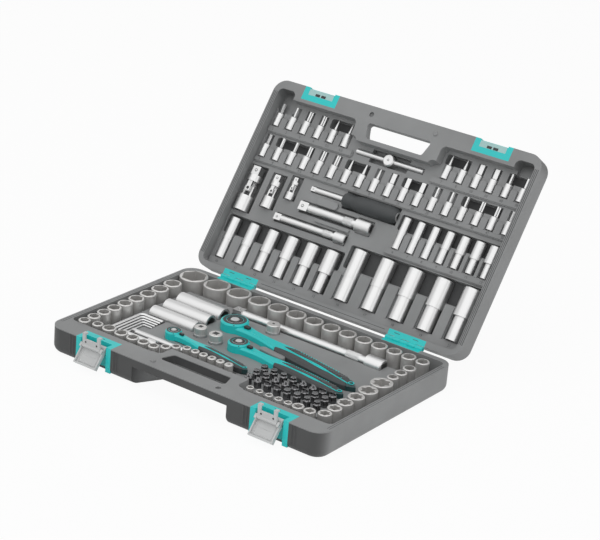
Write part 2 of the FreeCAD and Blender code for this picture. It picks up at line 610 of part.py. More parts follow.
def ratchet(name, head, thick, top, length, neck, tail, handle, drive, at, angle):
    """All the pieces of one ratchet, made along X at the origin and then laid in the tray."""
    place = Place(Vec(at[0], at[1], 0), Rot(Z_AXIS, angle))
    run = size("running_gap")
    foot = top - thick
    handle_foot = top - thick / 2 - handle / 2
    handle_top = handle_foot + handle
    head_disc = broken(name + "_head", cylinder(name + "_head_disc", head, thick, (0, 0, foot)), HEAD_BEVEL,
                       circular)
    bar = extrude(name + "_bar", handle_outline(name + "_plan", head, neck, tail, length, 0), handle,
                  (0, 0, handle_foot))
    bar = broken(name + "_bar_soft", bar, HANDLE_BEVEL_SHARE * handle,
                 lambda edge: level_edge(edge) and edge.BoundBox.XLength > 1)
    spindle_radius = SPINDLE_SHARE * head
    lever_radius = LEVER_SHARE * neck
    lever_x = head + LEVER_AHEAD * lever_radius
    tools = [cylinder(name + "_bore", spindle_radius + run, thick + 2, (0, 0, foot - 1)),
             cylinder(name + "_lever_bore", lever_radius + run, LEVER_DEPTH + 1,
                      (lever_x, 0, handle_top - LEVER_DEPTH)),
             cylinder(name + "_hang_hole", HANG_HOLE_SHARE * tail, thick,
                      (length - HANG_HOLE_BACK * tail, 0, foot))]
    panels = []
    for side, shares, level, depth in (
            ("ribbed", RIBBED_PANEL, handle_top - PANEL_DEPTH, thick),
            ("under", RIBBED_PANEL, handle_foot + PANEL_DEPTH - thick, thick),
            ("smooth", SMOOTH_PANEL, foot, thick)):
        tag = "%s_%s" % (name, side)
        recess = panel_outline(tag + "_recess", shares, length, tail, 1)
        filling = panel_outline(tag + "_edge", shares, length, tail, PANEL_FIT)
        tools.append(extrude(tag + "_cut", recess, depth, (0, 0, level)))
        panel = doc.addObject("Part::MultiCommon", tag + "_panel")
        panel.Shapes = [bar, extrude(tag + "_fill", filling, depth, (0, 0, level))]
        panels.append(panel)
    body = cut(name + "_ratchet_body", fuse(name + "_ratchet_solid", [head_disc, bar]),
               fuse(name + "_ratchet_cuts", tools))
    node("ratchet_body_" + name, body, place)
    node("ratchet_grip_" + name, group(name + "_grip_panels", panels), place)
    button_radius = BUTTON_SHARE * spindle_radius
    disc = bevelled(name + "_spindle_disc", spindle_radius, thick, 0.6, (0, 0, foot))
    square = square_end(name + "_square", size(drive), size(drive) + 1, (0, 0, foot - size(drive)), UPRIGHT)
    well_depth = BUTTON_WELL_SHARE * thick
    spindle = cut(name + "_spindle", fuse(name + "_spindle_solid", [disc, square]),
                  cylinder(name + "_button_bore", button_radius + run, well_depth + 1, (0, 0, top - well_depth)))
    node("ratchet_drive_" + name, spindle, place)
    button = cylinder(name + "_button_bar", button_radius, well_depth + BUTTON_RISE - BUTTON_ROOM,
                      (0, 0, top - well_depth + BUTTON_ROOM))
    button = broken(name + "_button", button, BUTTON_RISE / 2,
                    lambda edge: circular(edge) and edge.BoundBox.ZMin > top)
    node("ratchet_button_" + name, button, place)
    stem = cylinder(name + "_lever_stem", lever_radius, LEVER_DEPTH + 1.5,
                    (lever_x, 0, handle_top - LEVER_DEPTH + run))
    half_thumb = 0.85 * lever_radius
    thumb = block(name + "_lever_thumb", 2 * half_thumb + LEVER_THUMB, 2 * half_thumb, LEVER_THICK,
                  (lever_x - half_thumb, -half_thumb, handle_top + LEVER_LIFT))
    thumb = rounded(name + "_lever_soft", thumb, 0.5 * lever_radius, upright)
    node("ratchet_selector_" + name, fuse(name + "_selector", [stem, thumb]), place)
    pocket = [cylinder(name + "_head_pocket", head + GAP, RIM, (0, 0, foot - GAP)),
              cylinder(name + "_square_pocket", 0.75 * size(drive) + GAP, RIM, (0, 0, foot - size(drive) - GAP)),
              extrude(name + "_handle_pocket",
                      handle_outline(name + "_pocket_plan", head, neck, tail, length, GAP), RIM,
                      (0, 0, handle_foot - GAP))]
    hollow = fuse(name + "_pocket", pocket)
    hollow.Placement = place
    troughs.append(hollow)


for name, numbers in RATCHETS.items():
    ratchet(name, **numbers)
doc.recompute()

# The base: a shallow shell with three levels, a grip bar at the front and a seat for every tool.
RIM_WIDTH = size("rim_width")
INNER = size("inner_radius")
ABOVE = RIM + 30
CHANNEL = RIM - size("channel_drop")
INNER_X = HALF_WIDTH - RIM_WIDTH
INNER_BACK = BACK - RIM_WIDTH
GRIP_FRONT = FRONT + size("grip_front")
GRIP_BACK = FRONT + size("grip_back")
LATCH_X = size("latch_centre")
LATCH_HALF = size("latch_width") / 2
BOSS_X = 54
BOSS_Y = FRONT + 12.5


COLUMN_LEFT = 41
COLUMN_RIGHT = 48
PLATEAU_STEP = 12
FRONT_WALL = 34
SHELF_BACK = -60
LEFT_SHELF_END = -62
RIGHT_SHELF_END = 66
LEFT_CHANNEL_END = -71
RIGHT_CHANNEL_END = 74
SLOT_CHANNEL = (-82, 32)


def base_levels():
    """The hollows of the tray, from the shallow plateau to the deep socket channels."""
    left, right = LEFT + COLUMN_LEFT, RIGHT - COLUMN_RIGHT
    near = FRONT + FRONT_WALL
    shallow = [
        ("plateau", -INNER_X, INNER_X, GRIP_BACK + PLATEAU_STEP, INNER_BACK),
        ("front_left_shelf", -INNER_X, LEFT_SHELF_END, near + 2, SHELF_BACK),
        ("front_right_shelf", RIGHT_SHELF_END, INNER_X, near, SHELF_BACK),
    ]
    deep = [
        ("left_channel", -INNER_X, left, near, INNER_BACK),
        ("back_channel", -INNER_X, INNER_X, HALF_ROW - 22, INNER_BACK),
        ("right_channel", right, INNER_X, near - 2, INNER_BACK),
        ("front_left_channel", -INNER_X, LEFT_CHANNEL_END, near, near + 24),
        ("front_right_channel", RIGHT_CHANNEL_END, INNER_X, near - 3, near + 21),
        ("slot_channel", *SLOT_CHANNEL, QUARTER_SLOT_ROW - 11.5, QUARTER_SLOT_ROW + 9.5),
    ]
    return [well(*limits, level, ABOVE, INNER) for rows, level in ((shallow, TRAY_LEVEL), (deep, CHANNEL))
            for limits in rows]


case_body = rounded_body("base_shell", "case_width", "case_depth", "corner_radius", "base_height",
                         "edge_radius", False)
hollows = base_levels()
hollows.append(wedge_slot("grip_slot", size("grip_half_width"), size("grip_inner_half_width"),
                          GRIP_FRONT, GRIP_BACK, -5, ABOVE))
hollows.append(wedge_slot("grip_arch", size("arch_half_width"), size("arch_inner_half_width"),
                          FRONT - 1, FRONT + size("arch_depth"), -5, RIM - size("bar_thickness")))
for side in (-1, 1):
    hollows.append(block("latch_notch_%d" % (side + 1), "Sizes.latch_width", "Sizes.latch_depth", 60,
                         (side * LATCH_X - LATCH_HALF, FRONT, size("latch_floor"))))
    channel_half = LATCH_HALF - size("latch_wall")
    hollows.append(block("latch_way_%d" % (side + 1), 2 * channel_half, "Sizes.latch_channel + 1", RIM,
                         (side * LATCH_X - channel_half, FRONT - 1, -1)))
    hollows.append(block("hinge_notch_%d" % (side + 1), "Sizes.hinge_length", "Sizes.hinge_reach", 60,
                         (side * size("hinge_centre") - size("hinge_length") / 2,
                          BACK - size("hinge_reach"), RIM - size("hinge_leaf"))))
opened = cut("base_opened", case_body, fuse("base_hollows", hollows))
dimple = cylinder("rim_dimple", "Sizes.boss_radius + Sizes.seat_gap", "Sizes.boss_height + Sizes.seat_gap + 1",
                  (BOSS_X, BOSS_Y, RIM - size("boss_height") - size("seat_gap")))
seated = cut("base_seated", opened, fuse("base_seats", seats + troughs + [dimple]))
boss = bevelled("rim_boss", "Sizes.boss_radius", "2 * Sizes.boss_height", size("boss_height") / 2,
                (-BOSS_X, BOSS_Y, RIM - size("boss_height")))
node("case_base", fuse("base_bossed", [seated, boss]))

# The lid, drawn flat with its rim plane at height zero, its hinge edge nearest the axis.
LID_EDGE = size("hinge_offset")
LID_FAR = LID_EDGE + size("case_depth")
lid_troughs = []
LID_BODY = rounded_body("lid_shell", "case_width", "case_depth", "corner_radius", "lid_height",
                        "edge_radius", False)
LID_BODY.Placement = Place(Vec(0, LID_EDGE + size("case_depth") / 2, -size("lid_height")), UPRIGHT)


def up(height):
    """Height above the lid's hinge edge, turned into the lid's own frame."""
    return LID_EDGE + height


def lid_trough(name, radius, length, x, v, turn):
    """A half-round seat for a tool that lies in the lid."""
    back = Vec(0, 0, -GAP)
    start = Vec(x, up(v), LID_LEVEL) + turn.multVec(back)
    lid_troughs.append(cylinder("lid_seat_" + name, radius + GAP, length + 2 * GAP, tuple(start), turn))


bit_sockets = []


def bit_socket(name, x, v, style):
    radius = size("bit_socket_radius")
    length = size("bit_socket_length")
    body = bevelled(name + "_body", "Sizes.bit_socket_radius", "Sizes.bit_socket_length", 0.8)
    tip = bit_tip(name + "_tip", style, 0.62 * radius + 0.25 * style, size("bit_tip_length") + 1,
                  (0, 0, length - 1))
    hole = square_end(name + "_hole", size("quarter_drive"), 10, (0, 0, -1), UPRIGHT)
    piece = cut(name, fuse(name + "_solid", [body, tip]), hole)
    piece.Placement = Place(Vec(x, up(v), LID_LEVEL), ALONG_Y)
    bit_sockets.append(piece)
    lid_trough(name, radius, length + size("bit_tip_length"), x, v, ALONG_Y)


BIT_COUNT = 18
BIT_GROUP = 6
ROW_ONE = 230
ROW_TWO = 181
for number in range(BIT_COUNT):
    x = (number - (BIT_COUNT - 1) / 2) * size("bit_pitch")
    bit_socket("bit_socket_two_%d" % number, x, ROW_TWO, number // 3 % 4)
    if number < BIT_GROUP or number >= BIT_COUNT - BIT_GROUP:
        bit_socket("bit_socket_one_%d" % number, x, ROW_ONE, number // 2 % 4)
node("bit_sockets", group("bit_socket_set", bit_sockets), LID_PLACE)


def deep_socket(name, flats, radius, neck, length, drive, x, v):
    """A long socket lying mouth up the lid, with a narrower drive half."""
    wide = bevelled(name + "_mouth_half", radius, 0.55 * length, 0.8, (0, 0, 0.45 * length))
    narrow = bevelled(name + "_drive_half", neck, length - 1, 0.8)
    hexagon = prism(name + "_mouth", 6, "%g / 2 / cos(30)" % flats, length, (0, 0, 0.52 * length))
    square = square_end(name + "_square", size(drive), 0.3 * length, (0, 0, -1), UPRIGHT)
    solid = fuse(name + "_solid", [wide, narrow])
    piece = cut(name, solid, fuse(name + "_bore", [hexagon, square]))
    piece.Placement = Place(Vec(x, up(v), LID_LEVEL), ALONG_Y)
    lid_trough(name, radius, length, x, v, ALONG_Y)
    return piece


DEEP_QUARTER_SIZES = (6, 7, 8, 9, 10, 11, 13)
DEEP_EIGHTH_SIZES = (10, 11, 12, 13, 14, 15)
DEEP_HALF_SIZES = (16, 17, 18, 19, 21)
DEEP_ROW = 22
DEEP_QUARTER_ROW = 115.5
DEEP_QUARTER_FIRST = 60.2
DEEP_QUARTER_PITCH = 23.9
DEEP_QUARTER_NECK = 6
DEEP_EIGHTH_FIRST = LEFT + 25
DEEP_EIGHTH_PITCH = 34.6
DEEP_EIGHTH_NECK = 7.7
DEEP_HALF_FIRST = 14.3
DEEP_HALF_PITCH = 46
DEEP_HALF_NECK = 10.9
deep_quarter = [
    deep_socket("deep_quarter_%d" % flats, flats,
                max(socket_radius(flats, "quarter_wall"), DEEP_QUARTER_NECK + 0.2),
                DEEP_QUARTER_NECK, size("deep_quarter_length"), "quarter_drive",
                DEEP_QUARTER_FIRST + DEEP_QUARTER_PITCH * number, DEEP_QUARTER_ROW)
    for number, flats in enumerate(DEEP_QUARTER_SIZES)]
deep_eighth = [
    deep_socket("deep_eighth_%d" % flats, flats, socket_radius(flats, "eighth_wall") + 0.6, DEEP_EIGHTH_NECK,
                size("deep_eighth_length"), "eighth_drive",
                DEEP_EIGHTH_FIRST + DEEP_EIGHTH_PITCH * number, DEEP_ROW)
    for number, flats in enumerate(DEEP_EIGHTH_SIZES)]
deep_half = [
    deep_socket("deep_half_%d" % flats, flats, socket_radius(flats, "half_wall"), DEEP_HALF_NECK,
                size("deep_half_length"), "half_drive", DEEP_HALF_FIRST + DEEP_HALF_PITCH * number, DEEP_ROW)
    for number, flats in enumerate(DEEP_HALF_SIZES)]
node("deep_sockets_quarter", group("deep_quarter_set", deep_quarter), LID_PLACE)
node("deep_sockets_three_eighths", group("deep_eighth_set", deep_eighth), LID_PLACE)
node("deep_sockets_half", group("deep_half_set", deep_half), LID_PLACE)

LID_BARS = (("lid_bar_half", 6.2, 11, "half_drive", 123, 24, LEFT + 115.6, 130.7),
            ("lid_bar_eighth", 5, 8.5, "eighth_drive", 124, 18, LEFT + 83.5, 104.7))
CORNER_SHARE = math.sqrt(0.5)
BAR_ROOM = 2
lid_bars = []
for name, radius, female, drive, length, collar, x, v in LID_BARS:
    bar = extension_bar(name, radius, female, length, collar, drive, (x, up(v), LID_LEVEL), ALONG_X)
    lid_bars.append(bar)
    lid_trough(name, max(radius + BAR_ROOM, CORNER_SHARE * size(drive)), length, x, v, ALONG_X)
    lid_trough(name + "_collar", female, collar, x + length - collar, v, ALONG_X)
node("lid_extension_bars", group("lid_bar_set", lid_bars), LID_PLACE)

SPINNER_X = LEFT + 121
SPINNER_V = 159
SPINNER_SHAFT = 57
SPINNER_GRIP = 91
SPINNER_RADIUS = 12.5
SPINNER_STUB = 7
SPINNER_HELD = 30
SHAFT_RADIUS = 4
BORE_RADIUS = SHAFT_RADIUS + size("running_gap")
shaft = fuse("spinner_bar", [
    bevelled("spinner_rod", SHAFT_RADIUS, SPINNER_SHAFT + SPINNER_HELD - SPINNER_STUB, 0.6,
             (0, 0, SPINNER_STUB)),
    square_end("spinner_stub", size("quarter_drive"), SPINNER_STUB + 1, (0, 0, 0), UPRIGHT)])
shaft.Placement = Place(Vec(SPINNER_X, up(SPINNER_V), LID_LEVEL), ALONG_X)
node("spinner_shaft", shaft, LID_PLACE)
# Half the handle's section: a flared front, a waist for the fingers, a belly and a domed end.
FLARE, WAIST, BELLY = 0.92 * SPINNER_RADIUS, 0.78 * SPINNER_RADIUS, SPINNER_RADIUS
grip_profile = [(BORE_RADIUS, 0), (0.7 * SPINNER_RADIUS, 0), (FLARE, 4), (WAIST, 17), (0.93 * BELLY, 29),
                (BELLY, 44), (BELLY, SPINNER_GRIP - 14), (0.92 * BELLY, SPINNER_GRIP - 5),
                (0.7 * BELLY, SPINNER_GRIP), (0, SPINNER_GRIP), (0, SPINNER_HELD), (BORE_RADIUS, SPINNER_HELD)]
grip_outline = doc.addObject("Part::Feature", "spinner_profile")
grip_outline.Shape = Part.makePolygon([Vec(r, 0, z) for r, z in grip_profile + grip_profile[:1]])
grip = doc.addObject("Part::Revolution", "spinner_turned")
grip.Source = grip_outline
grip.Axis = Z_AXIS
grip.Angle = 360
grip.Solid = True
grip.Placement = Place(Vec(SPINNER_X + SPINNER_SHAFT, up(SPINNER_V), LID_LEVEL), ALONG_X)
node("spinner_grip", grip, LID_PLACE)
lid_trough("spinner_shaft", CORNER_SHARE * size("quarter_drive"), SPINNER_SHAFT, SPINNER_X, SPINNER_V, ALONG_X)
lid_trough("spinner_grip", SPINNER_RADIUS, SPINNER_GRIP, SPINNER_X + SPINNER_SHAFT, SPINNER_V, ALONG_X)

# The sliding bar: a rod, and a round head that travels along it.
TEE_X = -60.7
TEE_V = 231
TEE_LENGTH = 112
TEE_RADIUS = 4
TEE_HEAD = 9
TEE_HEAD_HEIGHT = 15
TEE_HEAD_FOOT = 9
TEE_HEAD_BEVEL = 1.6
TEE_TRAVEL = 22
TEE_HEAD_X = -5.3
rod = bevelled("tee_rod", TEE_RADIUS, TEE_LENGTH, 0.8)
rod.Placement = Place(Vec(TEE_X, up(TEE_V), LID_LEVEL), ALONG_X)
node("tee_bar_rod", rod, LID_PLACE)
head = bevelled("tee_head_disc", TEE_HEAD, TEE_HEAD_HEIGHT, TEE_HEAD_BEVEL, (0, 0, -TEE_HEAD_FOOT))
bore = cylinder("tee_head_bore", TEE_RADIUS + size("running_gap"), 4 * TEE_HEAD, (-2 * TEE_HEAD, 0, 0), ALONG_X)
head = cut("tee_head", head, bore)
head.Placement = Place(Vec(TEE_HEAD_X, up(TEE_V), LID_LEVEL), UPRIGHT)
node("tee_bar_head", head, LID_PLACE)
lid_trough("tee_rod", TEE_RADIUS, TEE_LENGTH, TEE_X, TEE_V, ALONG_X)
reach = TEE_HEAD + TEE_TRAVEL + 1
lid_troughs.append(block("tee_head_way", 2 * reach, 2 * TEE_HEAD + 2, 30,
                         (TEE_HEAD_X - reach, up(TEE_V) - TEE_HEAD - 1, LID_LEVEL - TEE_HEAD_FOOT - 1)))

# Universal joints: a socket fork, a cross and a drive fork, each on its own pin line.
JOINT_ROOM = 3.2
JOINT_SWEEP = 2.5
UNIVERSAL_JOINTS = (("half", 12, LEFT + 24, 95.6, 69, "half_drive"),
                    ("eighth", 9, LEFT + 62, 111, 51, "eighth_drive"),
                    ("quarter", 6.6, LEFT + 91.5, 133, 34, "quarter_drive"))
yokes = []


def fork(name, inner, arm, width, reach_back, axis_turn, bore):
    """Two arms either side of the cross, each with a pin hole, drawn along Z towards the cross."""
    arms = []
    for side in (-1, 1):
        near = inner if side > 0 else -inner - arm
        arms.append(block("%s_arm_%d" % (name, side + 1), arm, width, reach_back + width / 2,
                          (near, -width / 2, -reach_back)))
    hole = cylinder(name + "_pin_hole", bore, 60, (-30, 0, 0), ALONG_X)
    piece = cut(name + "_arms", fuse(name + "_pair", arms), hole)
    piece.Placement = Place(Vec(0, 0, 0), axis_turn)
    return piece


def universal_joint(name, radius, x, v, length, drive):
    """The joint lies along the lid with its cross at the middle; the drive fork points up the lid."""
    centre = Place(Vec(x, up(v + length / 2), LID_LEVEL), ALONG_Y)
    block_half = 0.36 * radius
    arm_inner = block_half + 0.3
    arm = 0.26 * radius
    width = 0.6 * radius
    pin = 0.2 * radius
    bore = pin + size("running_gap")
    back = 0.95 * radius
    hub = length / 2 - back
    lower = cylinder(name + "_hub", radius, hub, (0, 0, -length / 2))
    fork_lower = fork(name + "_lower", arm_inner, arm, width, back + 1, UPRIGHT, bore)
    hole = square_end(name + "_hole", size(drive), 0.7 * hub, (0, 0, -length / 2 - 1), UPRIGHT)
    lower = cut(name + "_socket_yoke", fuse(name + "_lower_solid", [lower, fork_lower]), hole)
    lower.Placement = centre
    yokes.append(lower)
    core = block(name + "_core", 2 * block_half, 2 * block_half, 2 * block_half,
                 (-block_half, -block_half, -block_half))
    span = 2 * (arm_inner + arm)
    pins = [cylinder(name + "_pin_x", pin, span, (-span / 2, 0, 0), ALONG_X),
            cylinder(name + "_pin_y", pin, span, (0, -span / 2, 0), ALONG_Y)]
    cross = fuse(name + "_cross", [core] + pins)
    cross.Placement = centre
    node("joint_cross_" + name, cross, LID_PLACE)
    stub = size(drive) * 1.05
    half_turn = Rot(X_AXIS, 180)
    quarter_turn = half_turn.multiply(Rot(Z_AXIS, 90))
    fork_upper = fork(name + "_upper", arm_inner, arm, width, back + 1, quarter_turn, bore)
    collar = cylinder(name + "_collar", 0.86 * radius, length / 2 - back - stub, (0, 0, back))
    square = square_end(name + "_drive", size(drive), stub + 1, (0, 0, length / 2 - stub - 1), UPRIGHT)
    upper = fuse(name + "_drive_yoke", [fork_upper, collar, square])
    upper.Placement = centre
    node("joint_drive_" + name, upper, LID_PLACE)
    lid_trough(name, radius + JOINT_ROOM, length + JOINT_SWEEP, x, v, ALONG_Y)


for numbers in UNIVERSAL_JOINTS:
    universal_joint(*numbers)
node("joint_socket_yokes", group("joint_yoke_set", yokes), LID_PLACE)
doc.recompute()

# The lid shell: plateau, grip opening, notches for the strikes and hinge leaves, a seat per tool.
LID_ABOVE = 30
STRIKE_NEAR = LID_FAR - size("strike_depth")
PLATEAU_TOP = 242
STEP_TOP = 247.5
BAY_TOP = 271
BAY_SIDE = 72
STEP_SIDE = 60
BAY_FOOT = 150
CORNER_SIDE = 39
CORNER_FOOT = 252
CORNER_TOP = 283
# Finger pockets behind the tools: from x, to x, from and to heights above the hinge edge.
FINGER_POCKETS = (
    (-121, -79, 251, 266), (76, 112, 251, 266), (176, 206, 251, 266),
    (-193, -128, 202, 216), (-70, -30, 202, 216), (27, 63, 202, 216), (125, 186, 202, 216),
    (72, 110, 150, 162), (179, 193, 148, 160),
)
FINGER_RADIUS = 3
# Channels across the long sockets, so that each lies between raised pads.
DEEP_CHANNELS = (
    (DEEP_EIGHTH_FIRST - 14, DEEP_EIGHTH_FIRST + 5.5 * DEEP_EIGHTH_PITCH, DEEP_ROW + 38, DEEP_ROW + 66),
    (DEEP_HALF_FIRST - 20, DEEP_HALF_FIRST + 4 * DEEP_HALF_PITCH + 17, DEEP_ROW + 46, DEEP_ROW + 80),
    (DEEP_QUARTER_FIRST - 11, DEEP_QUARTER_FIRST + 6 * DEEP_QUARTER_PITCH + 11, DEEP_QUARTER_ROW + 27,
     DEEP_QUARTER_ROW + 50),
)
LID_FINGER = LID_LEVEL - size("finger_drop")
LID_CHANNEL = LID_LEVEL - size("channel_step")
lid_hollows = [
    well("lid_plateau", -INNER_X, INNER_X, LID_EDGE + RIM_WIDTH, up(PLATEAU_TOP), LID_LEVEL, LID_ABOVE, INNER),
    wedge_slot("lid_grip_slot", size("grip_half_width"), size("grip_inner_half_width"),
               LID_FAR - size("grip_front"), LID_FAR - size("grip_back"), -60, LID_ABOVE),
    wedge_slot("lid_grip_arch", size("arch_half_width"), size("arch_inner_half_width"),
               LID_FAR + 1, LID_FAR - size("arch_depth"), -60, -size("bar_thickness")),
]
for tag, sides in (("left", (-INNER_X, -BAY_SIDE, -STEP_SIDE, CORNER_SIDE - HALF_WIDTH)),
                   ("right", (INNER_X, BAY_SIDE, STEP_SIDE, HALF_WIDTH - CORNER_SIDE))):
    outer, bay, step, corner = sides
    for kind, inner, foot, far, level in (
            ("bay", bay, BAY_FOOT, BAY_TOP, LID_LEVEL), ("step", step, BAY_FOOT, STEP_TOP, LID_LEVEL),
            ("corner", corner, CORNER_FOOT, CORNER_TOP, LID_CHANNEL)):
        lid_hollows.append(well("lid_%s_%s" % (tag, kind), min(outer, inner), max(outer, inner), up(foot), up(far),
                                level, LID_ABOVE, INNER))
for pockets, level, kind in ((FINGER_POCKETS, LID_FINGER, "finger"), (DEEP_CHANNELS, LID_CHANNEL, "channel")):
    for number, (x_from, x_to, v_from, v_to) in enumerate(pockets):
        lid_hollows.append(well("lid_%s_%d" % (kind, number), x_from, x_to, up(v_from), up(v_to), level, LID_ABOVE,
                                FINGER_RADIUS))
for side in (-1, 1):
    lid_hollows.append(block("strike_notch_%d" % (side + 1), "Sizes.latch_width", "Sizes.strike_depth + 20", 60,
                             (side * LATCH_X - LATCH_HALF, STRIKE_NEAR, -size("strike_height"))))
    lid_hollows.append(block("lid_hinge_notch_%d" % (side + 1), "Sizes.hinge_length", "Sizes.hinge_reach", 60,
                             (side * size("hinge_centre") - size("hinge_length") / 2, LID_EDGE,
                              -size("hinge_leaf"))))
lid_opened = cut("lid_opened", LID_BODY, fuse("lid_hollows", lid_hollows))
lid_troughs.append(cylinder("lid_dimple", "Sizes.boss_radius + Sizes.seat_gap",
                            "Sizes.boss_height + Sizes.seat_gap + 1",
                            (-BOSS_X, up(FRONT - BOSS_Y) + size("case_depth"), -size("boss_height") - size("seat_gap"))))
lid_boss = bevelled("lid_boss", "Sizes.boss_radius", "2 * Sizes.boss_height", size("boss_height") / 2,
                    (BOSS_X, up(FRONT - BOSS_Y) + size("case_depth"), -size("boss_height")))
lid_seated = cut("lid_seated", lid_opened, fuse("lid_seats", lid_troughs))
node("case_lid", fuse("lid_bossed", [lid_seated, lid_boss]), LID_PLACE)

# Hinges: two leaves with interleaved knuckles on one pin, on each side.
KNUCKLES = 5
PIN_END = 1
SIDES = (("left", -1), ("right", 1))


def hinge_leaf(name, left, first, reach_sign, drop):
    """One leaf drawn with its pin line on X at the origin and its plate flush with its own rim."""
    length = size("hinge_length")
    share = length / KNUCKLES
    trim = size("knuckle_gap") / 2
    plate_far = size("hinge_offset") + size("hinge_reach")
    leaf = size("hinge_leaf")
    offset = size("hinge_offset")
    near = offset if reach_sign > 0 else -plate_far
    plate = block(name + "_plate", length, plate_far - offset, leaf, (left, near, -leaf - drop))
    pieces = [plate]
    bores = []
    for number in range(first, KNUCKLES, 2):
        start = left + number * share + trim
        tag = "%s_%d" % (name, number)
        pieces.append(cylinder(tag + "_knuckle", "Sizes.knuckle_radius", share - 2 * trim, (start, 0, 0), ALONG_X))
        pieces.append(block(tag + "_bridge", share - 2 * trim, offset + 1, leaf,
                            (start, 0 if reach_sign > 0 else -offset - 1, -leaf - drop)))
        bores.append(cylinder(tag + "_bore", "Sizes.pin_radius + Sizes.running_gap", share + 2,
                              (start - 1, 0, 0), ALONG_X))
    return cut(name, fuse(name + "_solid", pieces), fuse(name + "_bores", bores))


for tag, side in SIDES:
    left = side * size("hinge_centre") - size("hinge_length") / 2
    base_leaf = hinge_leaf("base_leaf_" + tag, left, 0, -1, AXIS_POINT.z - RIM)
    node("hinge_leaf_base_" + tag, base_leaf, Place(AXIS_POINT, UPRIGHT))
    node("hinge_leaf_lid_" + tag, hinge_leaf("lid_leaf_" + tag, left, 1, 1, 0), LID_PLACE)
    pin = cylinder("hinge_rod_" + tag, "Sizes.pin_radius", "Sizes.hinge_length - 2",
                   (left + PIN_END, AXIS_POINT.y, AXIS_POINT.z), ALONG_X)
    node("hinge_pin_" + tag, pin)

# Latches: a channel-shaped housing, a folded lever on a pin, and a hooked link on the lever.
PIVOT_Y = FRONT + size("latch_pin_inset")
PIVOT_Z = RIM - size("latch_pin_drop")
LEVER_TURN = Rot(X_AXIS, size("lever_angle"))
LINK_TURN = Rot(X_AXIS, size("link_angle") - 90)


def latch_housing(name, centre):
    channel_half = LATCH_HALF - size("latch_wall")
    outer = block(name + "_block", "Sizes.latch_width", "Sizes.latch_depth",
                  "Sizes.base_height - Sizes.latch_floor", (centre - LATCH_HALF, FRONT, size("latch_floor")))
    channel = block(name + "_channel", 2 * channel_half, size("latch_channel") + 1, 60,
                    (centre - channel_half, FRONT - 1, size("latch_floor") - 1))
    hole = cylinder(name + "_hole", "Sizes.latch_pin_radius + Sizes.running_gap", 60,
                    (centre - 30, PIVOT_Y, PIVOT_Z), ALONG_X)
    return cut(name, outer, fuse(name + "_cuts", [channel, hole]))


def latch_lever(name, centre):
    """A folded flap hanging from its barrel, with raised sides and two ears for the link."""
    width = size("lever_width")
    sheet_half = size("lever_sheet") / 2
    length = size("lever_length")
    lip = size("lever_lip")
    offset = size("link_offset")
    barrel = cylinder(name + "_barrel", "Sizes.barrel_radius", width, (-width / 2, 0, 0), ALONG_X)
    flap = block(name + "_flap", width, length, 2 * sheet_half, (-width / 2, -length, -sheet_half))
    end_lip = block(name + "_end", width, 2 * sheet_half, lip, (-width / 2, -length, -sheet_half))
    pieces = [barrel, flap, end_lip]
    holes = [cylinder(name + "_bore", "Sizes.latch_pin_radius + Sizes.running_gap", width + 2,
                      (-width / 2 - 1, 0, 0), ALONG_X)]
    ear = size("link_width") / 2 + 0.5
    for side in (-1, 1):
        tag = "%s_%d" % (name, side + 1)
        edge = side * width / 2 - (2 * sheet_half if side > 0 else 0)
        pieces.append(block(tag + "_side", 2 * sheet_half, length, lip, (edge, -length, -sheet_half)))
        inner = ear if side > 0 else -width / 2
        pieces.append(block(tag + "_ear", width / 2 - ear, 6, offset + 3, (inner, -offset - 3, -sheet_half)))
    holes.append(cylinder(name + "_link_bore", "Sizes.link_pin_radius + Sizes.running_gap", width + 2,
                          (-width / 2 - 1, -offset, offset), ALONG_X))
    piece = cut(name, fuse(name + "_solid", pieces), fuse(name + "_bores", holes))
    piece.Placement = Place(Vec(centre, PIVOT_Y, PIVOT_Z), LEVER_TURN)
    return piece


def latch_link(name, centre):
    """A plate with two hooked arms, on stub pins held by the lever's ears."""
    width = size("link_width")
    sheet_half = size("link_sheet") / 2
    length = size("link_length")
    arm = size("link_arm")
    plate_end = 0.55 * length
    reach = size("hook_reach")
    pieces = [
        cylinder(name + "_roll", "Sizes.link_pin_radius * 2", width, (-width / 2, 0, 0), ALONG_X),
        cylinder(name + "_stubs", "Sizes.link_pin_radius", size("lever_width") - 2,
                 (1 - size("lever_width") / 2, 0, 0), ALONG_X),
        block(name + "_plate", width, 2 * sheet_half, plate_end, (-width / 2, -sheet_half, 0))]
    for side in (-1, 1):
        tag = "%s_%d" % (name, side + 1)
        edge = width / 2 - arm if side > 0 else -width / 2
        pieces.append(block(tag + "_arm", arm, 2 * sheet_half, length, (edge, -sheet_half, 0)))
        pieces.append(block(tag + "_hook", arm, sheet_half + reach, 2 * sheet_half,
                            (edge, 0, length - 2 * sheet_half)))
    piece = fuse(name, pieces)
    offset = size("link_offset")
    pivot = LEVER_TURN.multVec(Vec(0, -offset, offset)) + Vec(centre, PIVOT_Y, PIVOT_Z)
    piece.Placement = Place(pivot, LINK_TURN)
    return piece


def strike(name, centre):
    """The catch on the lid: two bars, a back plate and a low ledge for the hooks."""
    channel_half = LATCH_HALF - size("latch_wall")
    ledge_back = STRIKE_NEAR + size("strike_depth") - size("latch_channel")
    outer = block(name + "_block", "Sizes.latch_width", "Sizes.strike_depth", "Sizes.strike_height",
                  (centre - LATCH_HALF, STRIKE_NEAR, -size("strike_height")))
    recess = block(name + "_recess", 2 * channel_half, size("latch_channel") + 1,
                   size("strike_height") - size("catch_height") + 1,
                   (centre - channel_half, ledge_back, -size("strike_height") - 1))
    front = block(name + "_front", 2 * channel_half, 20, 60,
                  (centre - channel_half, ledge_back + size("catch_reach"), -size("strike_height") - 1))
    return cut(name, outer, fuse(name + "_cuts", [recess, front]))


